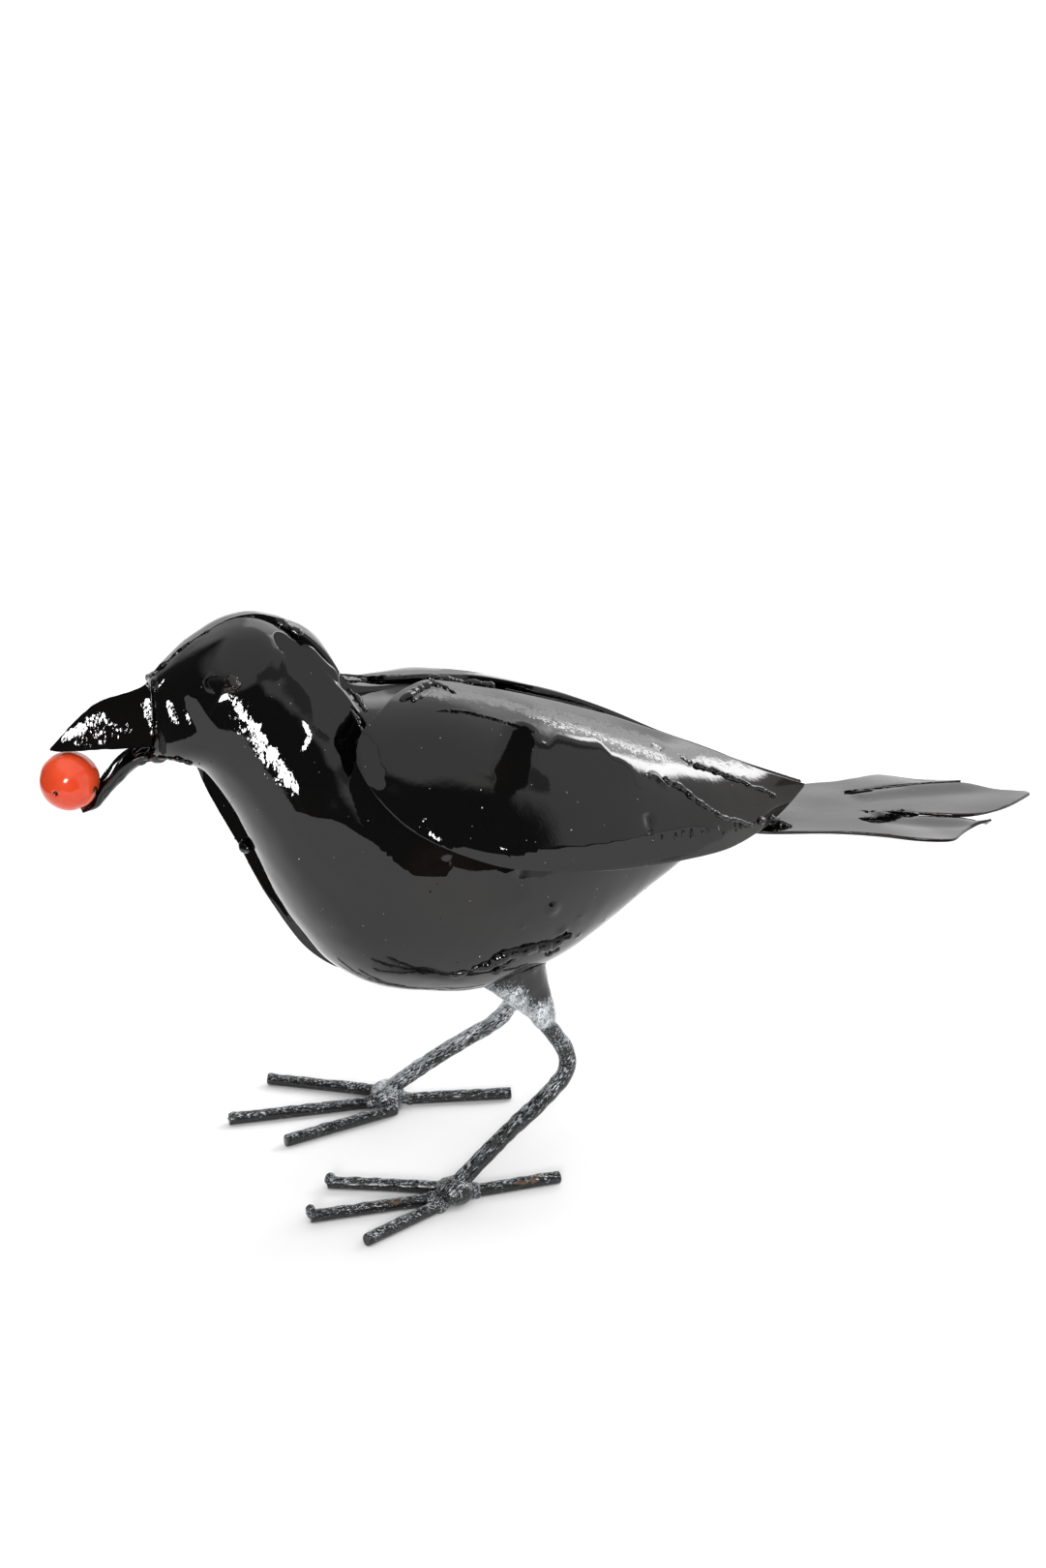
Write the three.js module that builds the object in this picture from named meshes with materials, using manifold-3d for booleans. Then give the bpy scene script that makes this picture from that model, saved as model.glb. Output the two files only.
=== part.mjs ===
// A standing bird of welded and enamelled sheet steel, with a ball in its beak.
// Millimetres. +X points forward to the beak, +Y to the bird's left, +Z up.
// Shapes are worked out about a point on the ground midway between the ankles.
// At the end the whole bird is shifted to the middle of its bounding box, on the ground.
import * as THREE from "three";
import { mergeVertices } from "three/addons/utils/BufferGeometryUtils.js";
import Module from "manifold-3d";

const wasm = await Module();
wasm.setup();

// Driving dimensions
const GAP = 0.3; // left between pieces that are welded together
const SHEET = 1.2; // wings and lower beak
const TAIL_SHEET = 1;
const LEG_ROD = 5.5; // diameter, with its paint
const TOE_ROD = 4.1;
const TOE_HEIGHT = 1.95; // rod axis above the ground, so the underside is flat
const GROUND = 0.9; // height of the ground in the drawing
const BERRY_RADIUS = 8.95;
const BERRY_CENTRE = [105.6, 0, 141.4];
const EYE_RADIUS = 2.9;
const EYE_CENTRE = [59, 20.5, 173.8]; // on the left side of the head
const BODY_RINGS = 42;
const SIDE_POINTS = 13; // points from the back seam to the breast seam
const SECTION_FULLNESS = 0.88; // 1 is an ellipse, less is boxier
const SAG = 0.06; // how far the widest line lies below the middle
const RIGHT_NAPE_SWELL = 8.6; // the right shell stands proud of the left one here
const RIGHT_BREAST_SWELL = 7.5;
const RIGHT_LIP_CURL = 2; // and its edge is rolled in by this much
const SEAM_HALF_GAP = GAP / 2;
const SEAM_OPENING = 1.1; // half the open crack at the nape and breast
const SEAM_DEPTH = 4;
const CHAMFER = 0.6; // half width and depth of the groove along the welded seam

// Body sections from the tail end to the beak: the seam's x, z above and below,
// and half the width between them.
const SECTIONS = [
  { top: [-112, 114.5], bottom: [-112, 108.4], half: 3.5 },
  { top: [-104, 120], bottom: [-100, 105.6], half: 8 },
  { top: [-90, 128.5], bottom: [-86, 96], half: 15 },
  { top: [-70, 139], bottom: [-67.6, 85], half: 25 },
  { top: [-45, 149.5], bottom: [-44, 71], half: 35.5 },
  { top: [-20, 157.5], bottom: [-18, 62.6], half: 41 },
  { top: [0, 160.5], bottom: [6, 64.6], half: 42.5 },
  { top: [12, 160.5], bottom: [22, 70], half: 41.5 },
  { top: [19, 161.3], bottom: [33, 79], half: 39 },
  { top: [22.6, 164], bottom: [41, 90.5], half: 35.5 },
  { top: [26.5, 168], bottom: [47.5, 103], half: 32 },
  { top: [31.7, 174.5], bottom: [53, 116.5], half: 29 },
  { top: [36.4, 179.8], bottom: [58, 128], half: 26.5 },
  { top: [41, 184.4], bottom: [62.7, 136.5], half: 25 },
  { top: [48, 187.4], bottom: [67, 142.6], half: 24.5 },
  { top: [56, 187], bottom: [71.5, 145], half: 23.5 },
  { top: [63.5, 183.5], bottom: [75, 146.2], half: 21.5 },
  { top: [70, 179.5], bottom: [78, 146.8], half: 18 },
  { top: [76, 174.8], bottom: [80, 147.2], half: 14 },
  { top: [80.2, 171.2], bottom: [81.4, 148], half: 10.8 },
];
const NAPE = 10.3; // section numbers where the cracks along the nape and breast are widest
const BREAST = 10.2;
const NAPE_SPREAD = 2.4; // how many sections they fade over
const BREAST_SPREAD = 3.6;
const BACKWARD_AND_UP = new THREE.Vector2(-0.7, 0.7); // x, z: the way the nape faces
const FORWARD_AND_DOWN = new THREE.Vector2(0.9, -0.4); // the way the breast faces

// Upper beak sections from the face to the point: ridge, underside, half width.
const UPPER_BEAK = [
  { top: [80.7, 170.2], bottom: [81.9, 150.4], half: 10 },
  { top: [83.4, 168.6], bottom: [84.4, 150.4], half: 9.4 },
  { top: [87.6, 167.3], bottom: [88.6, 150.5], half: 8.4 },
  { top: [92.4, 166.2], bottom: [93.4, 150.6], half: 7.2 },
  { top: [97, 164.6], bottom: [97.8, 150.7], half: 5.8 },
  { top: [101.4, 161.3], bottom: [101.9, 150.8], half: 4.3 },
  { top: [105.6, 157.4], bottom: [105.6, 150.8], half: 2.8 },
  { top: [109, 153.9], bottom: [108.9, 151], half: 1.4 },
  { top: [110.8, 152.4], bottom: [110.8, 151.4], half: 0.5 },
];
const RIM_RISE = 0.36; // the upper beak's rims lie this much of the half width above its keel

// Lower beak from the throat to the ledge under the ball: the fold's x, z,
// the height of the rims square to it, and half the width between the rims.
const LOWER_BEAK = [
  { fold: [82, 146.6], rise: 3, half: 4.8 },
  { fold: [85.4, 145.2], rise: 3.6, half: 4.4 },
  { fold: [88.9, 142.7], rise: 3.7, half: 3.8 },
  { fold: [92.6, 139.2], rise: 3.4, half: 3.2 },
  { fold: [96, 135.7], rise: 2.7, half: 2.6 },
  { fold: [98.8, 133], rise: 1.4, half: 2.1 },
  { fold: [102.8, 132.1], rise: 0.5, half: 1.8 },
];

// Left wing from its rounded front to its point: upper edge, lower edge, how far the
// sheet bulges beyond the chord between them, and how much higher the right wing's
// upper edge lies.
const WING = [
  { upper: [24.2, 29.5, 153.2], lower: [24.2, 31, 150], bulge: 0.2, lift: 0 },
  { upper: [21.5, 26.3, 158], lower: [22.4, 34, 144.5], bulge: 1.6, lift: -0.4 },
  { upper: [15, 19.5, 160.6], lower: [17.2, 37.2, 137], bulge: 4.6, lift: -1.5 },
  { upper: [6.7, 9.5, 162.2], lower: [9.4, 40.4, 129.5], bulge: 9.5, lift: -1.3 },
  { upper: [-5, 2.4, 162.8], lower: [-3.2, 43.4, 122.9], bulge: 13, lift: 0.1 },
  { upper: [-20, 2, 159.2], lower: [-18, 44.6, 117.2], bulge: 14, lift: 1.8 },
  { upper: [-38, 2, 154.2], lower: [-38.9, 43, 113.1], bulge: 13, lift: 2 },
  { upper: [-57.7, 2, 147.4], lower: [-59, 38, 109.8], bulge: 10.4, lift: 1.2 },
  { upper: [-78, 2, 138.9], lower: [-77, 30.5, 107.3], bulge: 7.2, lift: -0.5 },
  { upper: [-97, 2, 130.5], lower: [-94.8, 22, 105.6], bulge: 4.6, lift: -0.8 },
  { upper: [-111, 2, 123.6], lower: [-108.4, 13.8, 106.9], bulge: 2.6, lift: -0.6 },
  { upper: [-121, 1.8, 119.2], lower: [-118.9, 7, 110.2], bulge: 0.9, lift: -0.2 },
  { upper: [-129.2, 1, 115.9], lower: [-128, 1.8, 115.4], bulge: 0, lift: 0 },
];
const WING_ROWS = 22;
const WING_COLUMNS = 8;

// Tail seen from above, as x, y points: the root between the wings, then three lobes.
const TAIL_Z = [106, 105.5, 105, 104.8, 104.9]; // equally spaced from root to tip
const TAIL_ROOT_X = -104;
const TAIL_TIP_X = -210.4;
const ROOT_NEAR = [[-104, 8], [-112, 12.2], [-121, 14.4], [-131, 16.5], [-141, 20], [-150, 24.5]];
const ROOT_FAR = [[-104, -8], [-112, -12], [-121, -16.5], [-131, -22], [-141, -26], [-151, -25.8]];
const NEAR_SPLIT = [[-104, 2.7], [-149.7, 2.2]];
const FAR_SPLIT = [[-104, -3], [-150.8, -15]];
const LOBES = [
  {
    outer: [[-150, 24.5], [-159, 30], [-168, 32.3], [-172.5, 29], [-179.4, 23.4], [-187.6, 19.9]],
    inner: [[-149.7, 2.2], [-168, 10.2], [-187, 18.4]],
    outerLift: 0,
    innerLift: -1.8,
    columns: 3,
  },
  {
    outer: [[-149.7, 2.2], [-165, 7.6], [-181.4, 14.6], [-197.5, 11], [-210.4, 2.4]],
    inner: [[-150.8, -15], [-171, -13.6], [-192, -12], [-201.6, -4.8], [-210.4, 0.2]],
    outerLift: 0.3,
    innerLift: 0,
    columns: 4,
  },
  {
    outer: [[-150.8, -15], [-171, -14.9], [-192.6, -13.4]],
    inner: [[-151, -25.8], [-161, -27], [-169.7, -27.6], [-180, -20], [-193, -15.6]],
    outerLift: 1,
    innerLift: 0.2,
    columns: 2,
  },
];
const TAIL_ROOT_ROWS = 5;
const LOBE_ROWS = 8;

// Thigh cones from the leg rod up into the belly: the x, z of the left and the right
// cone's middle, and the radii along and across the bird.
const THIGH = [
  { left: [-37.6, 50.9], right: [-35.6, 47.9], along: 3.6, across: 3.6 },
  { left: [-35.3, 55.6], right: [-34.7, 53.4], along: 4.9, across: 4.6 },
  { left: [-31.9, 61.6], right: [-32.1, 60.4], along: 6.9, across: 5.8 },
  { left: [-28.3, 67.2], right: [-28.9, 67], along: 9.4, across: 7.2 },
  { left: [-25.5, 74.5], right: [-26, 74.5], along: 14, across: 9 },
];
const THIGH_Y = 17.8;

// Leg rod paths from the ankle to the end of the thigh cone.
const LEFT_LEG = [
  [-2, 36.3, 6.6],
  [-20, 28.9, 17.8],
  [-37.1, 22.2, 27.6],
  [-43.6, 18.8, 32.5],
  [-44.6, 17.5, 37.6],
  [-42.1, 17.4, 43.1],
  [-37.6, 17.8, 50],
];
const RIGHT_LEG = [
  [3.4, -33, 7],
  [-8.5, -29.4, 16.4],
  [-22, -24.3, 26.9],
  [-30.3, -19.9, 33.7],
  [-34.6, -17.9, 39.1],
  [-36.2, -17.7, 43],
  [-35.8, -17.8, 47.2],
];
const ANKLE_BLOB = [6, 6.2, 4.4]; // radii of the weld at the ankle
const ANKLE_HEIGHT = 5.5;

// Toes as root and tip, seen from above.
const TOES = {
  toe_left_inner: { root: [0.2, 29.1], tip: [34.4, 15.7] },
  toe_left_middle: { root: [4.4, 35.2], tip: [44, 35] },
  toe_left_outer: { root: [3.4, 39.4], tip: [30.4, 53.6] },
  toe_left_back: { root: [-8.9, 34.2], tip: [-37.7, 32.8] },
  toe_right_inner: { root: [2.4, -26], tip: [42.2, -14.6] },
  toe_right_middle: { root: [9.8, -33.1], tip: [57.6, -34.6] },
  toe_right_outer: { root: [4.9, -40.6], tip: [39.5, -59.8] },
  toe_right_back: { root: [-3.8, -32.3], tip: [-38.2, -26.5] },
};

// Finishes
const enamel = (name) =>
  new THREE.MeshStandardMaterial({ name, color: 0x0c0c0d, roughness: 0.16, metalness: 0 });
const brushedRod = (name) =>
  new THREE.MeshStandardMaterial({ name, color: 0x3b3e42, roughness: 0.35, metalness: 0.3 });
const redGloss = new THREE.MeshStandardMaterial({
  name: "red_gloss",
  color: 0xd83a1c,
  roughness: 0.15,
  metalness: 0,
});

// A smooth value through equally spaced values, with t from 0 to 1.
function spline(values, t) {
  const last = values.length - 1;
  const i = Math.min(Math.floor(t * last), last - 1);
  const f = t * last - i;
  const b = values[i];
  const c = values[i + 1];
  const a = i > 0 ? values[i - 1] : 2 * b - c;
  const d = i + 2 <= last ? values[i + 2] : 2 * c - b;
  const square = 2 * a - 5 * b + 4 * c - d;
  const cube = 3 * b - a - 3 * c + d;
  return 0.5 * (2 * b + (c - a) * f + square * f * f + cube * f * f * f);
}

// The same for a list of points.
function splinePoint(points, t) {
  return points[0].map((_, axis) => spline(points.map((p) => p[axis]), t));
}

// A bell that is 1 at its centre and fades over its width, flatter with a higher power.
function bell(at, centre, width, power = 2) {
  return Math.exp(-((Math.abs(at - centre) / width) ** power));
}

// A closed mesh from points and triangles, turned so that its faces point outwards.
function closedGeometry(points, triangles) {
  const volume = triangles.reduce((sum, [a, b, c]) => {
    const cross = new THREE.Vector3().crossVectors(points[b], points[c]);
    return sum + points[a].dot(cross) / 6;
  }, 0);
  const index = triangles.flatMap(([a, b, c]) => (volume > 0 ? [a, b, c] : [a, c, b]));
  const geometry = new THREE.BufferGeometry();
  const flat = points.flatMap((p) => [p.x, p.y, p.z]);
  geometry.setAttribute("position", new THREE.Float32BufferAttribute(flat, 3));
  geometry.setIndex(index);
  return geometry;
}

// A closed mesh through rings with the same number of points, capped at both ends.
function loft(rings) {
  const size = rings[0].length;
  const points = rings.flat();
  const triangles = [];
  for (let i = 0; i < rings.length - 1; i++) {
    for (let j = 0; j < size; j++) {
      const a = i * size + j;
      const b = i * size + ((j + 1) % size);
      triangles.push([a, b, b + size], [a, b + size, a + size]);
    }
  }
  for (const end of [0, rings.length - 1]) {
    const centre = points.length;
    const sum = rings[end].reduce((total, p) => total.add(p), new THREE.Vector3());
    points.push(sum.divideScalar(size));
    for (let j = 0; j < size; j++) {
      const a = end * size + j;
      const b = end * size + ((j + 1) % size);
      triangles.push(end === 0 ? [centre, b, a] : [centre, a, b]);
    }
  }
  return closedGeometry(points, triangles);
}

// A sheet of even thickness whose outer face is given by points and quads.
function plate(points, quads, thickness) {
  const faces = quads.flatMap(([a, b, c, d]) => [[a, b, c], [a, c, d]]);
  const normals = points.map(() => new THREE.Vector3());
  const edges = new Set();
  for (const [a, b, c] of faces) {
    const ab = points[b].clone().sub(points[a]);
    const ac = points[c].clone().sub(points[a]);
    const normal = ab.cross(ac);
    for (const corner of [a, b, c]) {
      normals[corner].add(normal);
    }
    for (const edge of [[a, b], [b, c], [c, a]]) {
      edges.add(edge.join());
    }
  }
  const inner = points.map((p, i) => p.clone().addScaledVector(normals[i].normalize(), -thickness));
  const shift = points.length;
  const triangles = faces.flatMap(([a, b, c]) => [[a, b, c], [a + shift, c + shift, b + shift]]);
  for (const edge of edges) {
    const [a, b] = edge.split(",").map(Number);
    if (!edges.has([b, a].join())) {
      triangles.push([b, a, a + shift], [b, a + shift, b + shift]);
    }
  }
  return closedGeometry([...points, ...inner], triangles);
}

function toSolid(geometry) {
  const bare = geometry.clone();
  bare.deleteAttribute("normal");
  bare.deleteAttribute("uv");
  const merged = mergeVertices(bare, 1e-4);
  const vertProperties = new Float32Array(merged.attributes.position.array);
  const triVerts = new Uint32Array(merged.index.array);
  return new wasm.Manifold(new wasm.Mesh({ numProp: 3, vertProperties, triVerts }));
}

function toGeometry(solid) {
  const mesh = solid.getMesh();
  const geometry = new THREE.BufferGeometry();
  geometry.setAttribute("position", new THREE.Float32BufferAttribute(mesh.vertProperties, 3));
  geometry.setIndex(Array.from(mesh.triVerts));
  return geometry;
}

// Body shells

// The seam points and half width at section number s, for the left (1) or right (-1) shell,
// grown outwards by an allowance.
function bodySection(s, side, grow) {
  const t = s / (SECTIONS.length - 1);
  const top = splinePoint(SECTIONS.map((section) => section.top), t);
  const bottom = splinePoint(SECTIONS.map((section) => section.bottom), t);
  const half = spline(SECTIONS.map((section) => section.half), t) + grow;
  const right = side < 0 ? 1 : 0;
  const up = new THREE.Vector2(top[0] - bottom[0], top[1] - bottom[1]).normalize();
  const above = new THREE.Vector2(top[0], top[1]).addScaledVector(up, grow);
  const below = new THREE.Vector2(bottom[0], bottom[1]).addScaledVector(up, -grow);
  above.addScaledVector(BACKWARD_AND_UP, right * RIGHT_NAPE_SWELL * bell(s, NAPE, NAPE_SPREAD));
  below.addScaledVector(FORWARD_AND_DOWN, right * RIGHT_BREAST_SWELL * bell(s, BREAST, BREAST_SPREAD, 4));
  return { above, below, half, up };
}

// One ring of a shell: the middle plane, the lip of the seam, the side, the other lip.
function shellRing(s, side) {
  const { above, below, half, up } = bodySection(s, side, 0);
  const middle = above.clone().add(below).multiplyScalar(0.5);
  const reach = above.distanceTo(below) / 2;
  const nape = bell(s, NAPE, NAPE_SPREAD);
  const breast = bell(s, BREAST, BREAST_SPREAD);
  const napeDepth = CHAMFER + SEAM_DEPTH * nape;
  const breastDepth = CHAMFER + SEAM_DEPTH * breast;
  const curl = side < 0 ? RIGHT_LIP_CURL : 0;
  const ring = [];
  const place = (height, across) => {
    const at = middle.clone().addScaledVector(up, height);
    ring.push(new THREE.Vector3(at.x, side * across, at.y));
  };
  place(reach - Math.min(napeDepth, reach * 0.5), SEAM_HALF_GAP);
  for (let i = 0; i < SIDE_POINTS; i++) {
    const angle = (Math.PI * (i + 0.35)) / (SIDE_POINTS - 0.3);
    const height = Math.cos(angle) - SAG * Math.sin(angle) ** 2;
    const lip = CHAMFER + SEAM_OPENING * (Math.cos(angle) > 0 ? nape : breast);
    const across = Math.max(half * Math.sin(angle) ** SECTION_FULLNESS, Math.min(lip, half / 3));
    const napeCurl = i === 0 ? curl * nape : 0;
    const breastCurl = i === SIDE_POINTS - 1 ? curl * breast : 0;
    place(reach * height - napeCurl + breastCurl, across);
  }
  place(-reach + Math.min(breastDepth, reach * 0.5), SEAM_HALF_GAP);
  return ring;
}

function shell(side) {
  const rings = [];
  for (let i = 0; i <= BODY_RINGS; i++) {
    rings.push(shellRing((i * (SECTIONS.length - 1)) / BODY_RINGS, side));
  }
  return loft(rings);
}

// The whole body grown by the gap, used to trim what is welded on to it.
function bodyAllowance() {
  const sides = [1, -1].map((side) => {
    const rings = [];
    for (let i = 0; i <= BODY_RINGS; i++) {
      const s = (i * (SECTIONS.length - 1)) / BODY_RINGS;
      const { above, below, half, up } = bodySection(s, side, GAP);
      const middle = above.clone().add(below).multiplyScalar(0.5);
      const reach = above.distanceTo(below) / 2;
      const ring = [];
      for (let j = 0; j < SIDE_POINTS + 2; j++) {
        const angle = (Math.PI * j) / (SIDE_POINTS + 1);
        const height = Math.cos(angle) - SAG * Math.sin(angle) ** 2;
        const at = middle.clone().addScaledVector(up, reach * height);
        const across = half * Math.max(Math.sin(angle), 0) ** SECTION_FULLNESS + 0.01;
        ring.push(new THREE.Vector3(at.x, side * across, at.y));
      }
      for (const end of [below, above]) {
        ring.push(new THREE.Vector3(end.x, -side, end.y));
      }
      rings.push(ring);
    }
    return toSolid(loft(rings));
  });
  return sides[0].add(sides[1]);
}

// Beak and ball

function upperBeak() {
  const rings = UPPER_BEAK.map(({ top, bottom, half }) => {
    const at = (rise, across) => {
      const x = bottom[0] + (top[0] - bottom[0]) * rise;
      const z = bottom[1] + (top[1] - bottom[1]) * rise;
      return new THREE.Vector3(x, across * half, z);
    };
    const rim = (RIM_RISE * half) / (top[1] - bottom[1]);
    const flank = [
      [rim, 1],
      [rim + (1 - rim) * 0.3, 0.92],
      [rim + (1 - rim) * 0.6, 0.7],
      [rim + (1 - rim) * 0.85, 0.38],
    ];
    return [
      at(0, 0),
      ...flank.map(([rise, across]) => at(rise, across)),
      at(1, 0),
      ...flank.reverse().map(([rise, across]) => at(rise, -across)),
    ];
  });
  return loft(rings);
}

function lowerBeak() {
  const across = [1, 0.9, 0.5, 0, -0.5, -0.9, -1];
  const rise = [1, 0.62, 0.16, 0, 0.16, 0.62, 1];
  const points = [];
  LOWER_BEAK.forEach(({ fold, rise: height, half }, i) => {
    const before = LOWER_BEAK[Math.max(i - 1, 0)].fold;
    const after = LOWER_BEAK[Math.min(i + 1, LOWER_BEAK.length - 1)].fold;
    const run = new THREE.Vector2(after[0] - before[0], after[1] - before[1]).normalize();
    across.forEach((share, j) => {
      const x = fold[0] - run.y * height * rise[j];
      const z = fold[1] + run.x * height * rise[j];
      points.push(new THREE.Vector3(x, share * half, z));
    });
  });
  return plate(points, gridQuads(LOWER_BEAK.length, across.length), SHEET);
}

// Quads over a grid of points kept row by row.
function gridQuads(rows, columns) {
  const quads = [];
  for (let i = 0; i < rows - 1; i++) {
    for (let j = 0; j < columns - 1; j++) {
      const a = i * columns + j;
      quads.push([a, a + 1, a + columns + 1, a + columns]);
    }
  }
  return quads;
}

function ball(radius, columns, rows) {
  return new THREE.SphereGeometry(radius, columns, rows).rotateX(Math.PI / 2);
}

// Wings

function wing(side) {
  const points = [];
  for (let i = 0; i <= WING_ROWS; i++) {
    const t = i / WING_ROWS;
    const upper = splinePoint(WING.map((section) => section.upper), t);
    const lower = splinePoint(WING.map((section) => section.lower), t);
    const bulge = spline(WING.map((section) => section.bulge), t);
    const lift = side < 0 ? spline(WING.map((section) => section.lift), t) : 0;
    const out = new THREE.Vector2(upper[2] - lower[2], lower[1] - upper[1]).normalize();
    for (let j = 0; j <= WING_COLUMNS; j++) {
      const v = j / WING_COLUMNS;
      const mix = (a, b) => a + (b - a) * v;
      const push = bulge * Math.sin(Math.PI * v) ** 0.9;
      const x = mix(upper[0], lower[0]);
      const y = mix(upper[1], lower[1]) + out.x * push;
      const z = mix(upper[2], lower[2]) + out.y * push + lift * (1 - v) ** 2;
      points.push(new THREE.Vector3(x, side * y, z));
    }
  }
  const quads = gridQuads(WING_ROWS + 1, WING_COLUMNS + 1);
  const turned = side > 0 ? quads.map((quad) => [...quad].reverse()) : quads;
  return plate(points, turned, SHEET);
}

// Tail

function tail() {
  const points = [];
  const quads = [];
  const keys = new Map();
  const tailZ = (x) => {
    const t = (x - TAIL_ROOT_X) / (TAIL_TIP_X - TAIL_ROOT_X);
    return spline(TAIL_Z, Math.min(Math.max(t, 0), 1));
  };
  const corner = (x, y, lift) => {
    const key = `${x.toFixed(3)},${y.toFixed(3)},${lift.toFixed(3)}`;
    if (!keys.has(key)) {
      keys.set(key, points.length);
      points.push(new THREE.Vector3(x, y, tailZ(x) + lift));
    }
    return keys.get(key);
  };
  const strip = (outer, inner, columns, rows, lift) => {
    const grid = [];
    for (let i = 0; i <= rows; i++) {
      const t = i / rows;
      const a = splinePoint(outer, t);
      const b = splinePoint(inner, t);
      grid.push([]);
      for (let j = 0; j <= columns; j++) {
        const v = j / columns;
        grid[i].push(corner(a[0] + (b[0] - a[0]) * v, a[1] + (b[1] - a[1]) * v, lift(t, v)));
      }
    }
    for (let i = 0; i < rows; i++) {
      for (let j = 0; j < columns; j++) {
        quads.push([grid[i][j], grid[i + 1][j], grid[i + 1][j + 1], grid[i][j + 1]]);
      }
    }
  };
  const rootEdges = [ROOT_NEAR, NEAR_SPLIT, FAR_SPLIT, ROOT_FAR];
  LOBES.forEach(({ outer, inner, outerLift, innerLift, columns }, k) => {
    const [from, to] = [rootEdges[k], rootEdges[k + 1]];
    strip(from, to, columns, TAIL_ROOT_ROWS, () => 0);
    const lift = (t, v) => (outerLift + (innerLift - outerLift) * v) * Math.min(1, t * 3);
    strip(outer, inner, columns, LOBE_ROWS, lift);
  });
  return plate(points, quads, TAIL_SHEET);
}

// Legs

function thigh(side) {
  const sides = 16;
  const middles = THIGH.map((section) => (side > 0 ? section.left : section.right));
  const rings = THIGH.map(({ along, across }, i) => {
    const centre = middles[i];
    const a = middles[Math.max(i - 1, 0)];
    const b = middles[Math.min(i + 1, THIGH.length - 1)];
    const up = new THREE.Vector2(b[0] - a[0], b[1] - a[1]).normalize();
    const ring = [];
    for (let j = 0; j < sides; j++) {
      const angle = (2 * Math.PI * j) / sides;
      const forward = along * Math.cos(angle);
      const x = centre[0] + up.y * forward;
      const z = centre[1] - up.x * forward;
      ring.push(new THREE.Vector3(x, side * (THIGH_Y + across * Math.sin(angle)), z));
    }
    return ring;
  });
  return loft(rings);
}

function rodSection(radius, sides) {
  return new THREE.Shape(
    Array.from({ length: sides }, (_, i) => {
      const angle = (2 * Math.PI * i) / sides;
      return new THREE.Vector2(radius * Math.cos(angle), radius * Math.sin(angle));
    }),
  );
}

function leg(path) {
  const curve = new THREE.CatmullRomCurve3(path.map((p) => new THREE.Vector3(...p)));
  const section = rodSection(LEG_ROD / 2, 12);
  const rod = new THREE.ExtrudeGeometry(section, { steps: 20, extrudePath: curve });
  const blob = ball(1, 14, 9).scale(...ANKLE_BLOB);
  blob.translate(path[0][0], path[0][1], ANKLE_HEIGHT);
  return toGeometry(toSolid(rod).add(toSolid(blob)));
}

// A toe lies along +X from its root, flat on the ground.
function toe(length) {
  const radius = TOE_ROD / 2;
  const sides = 10;
  const stops = [
    [0, 0.85],
    [0.8, 1],
    [length - 0.8, 1],
    [length, 0.75],
  ];
  const rings = stops.map(([x, share]) => {
    const ring = [];
    for (let j = 0; j < sides; j++) {
      const angle = (2 * Math.PI * (j + 0.5)) / sides - Math.PI / 2;
      const rise = TOE_HEIGHT + radius * share * Math.sin(angle);
      const onGround = Math.sin(angle) < -0.9;
      ring.push(new THREE.Vector3(x, radius * share * Math.cos(angle), onGround ? 0 : rise));
    }
    return ring;
  });
  return loft(rings);
}

// Assembly

const bird = new THREE.Group();

function add(name, geometry, material) {
  const mesh = new THREE.Mesh(geometry, material);
  mesh.name = name;
  bird.add(mesh);
  return mesh;
}

const allowance = bodyAllowance();
const trimmed = (geometry) => toGeometry(toSolid(geometry).subtract(allowance));

add("body_left_shell", shell(1), enamel("black_enamel"));
add("body_right_shell", shell(-1), enamel("black_enamel"));
add("beak_upper", upperBeak(), enamel("black_enamel"));

const berryRoom = toSolid(ball(BERRY_RADIUS + GAP, 24, 16)).translate(BERRY_CENTRE);
const trough = toSolid(lowerBeak()).subtract(berryRoom);
add("beak_lower", toGeometry(trough), enamel("black_enamel"));
add("berry", ball(BERRY_RADIUS, 24, 16), redGloss).position.set(...BERRY_CENTRE);

add("wing_left", wing(1), enamel("black_enamel"));
add("wing_right", wing(-1), enamel("black_enamel"));
add("tail", trimmed(tail()), enamel("black_enamel"));
add("thigh_left", trimmed(thigh(1)), brushedRod("brushed_black"));
add("thigh_right", trimmed(thigh(-1)), brushedRod("brushed_black"));
add("leg_left", leg(LEFT_LEG), brushedRod("brushed_black"));
add("leg_right", leg(RIGHT_LEG), brushedRod("brushed_black"));

for (const [name, { root, tip }] of Object.entries(TOES)) {
  const run = new THREE.Vector2(tip[0] - root[0], tip[1] - root[1]);
  const mesh = add(name, toe(run.length()), brushedRod("brushed_black"));
  mesh.position.set(root[0], root[1], GROUND);
  mesh.rotation.z = run.angle();
}

for (const side of [1, -1]) {
  const dot = ball(EYE_RADIUS, 12, 8);
  dot.translate(EYE_CENTRE[0], side * EYE_CENTRE[1], EYE_CENTRE[2]);
  add(side > 0 ? "eye_left" : "eye_right", trimmed(dot), enamel("black_enamel"));
}

const box = new THREE.Box3().setFromObject(bird);
const centre = box.getCenter(new THREE.Vector3());
bird.position.set(-centre.x, -centre.y, -box.min.z);

export default bird;
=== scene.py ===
import itertools
import math

import bmesh
import bpy
import numpy as np
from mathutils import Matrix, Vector
from mathutils.bvhtree import BVHTree


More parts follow.
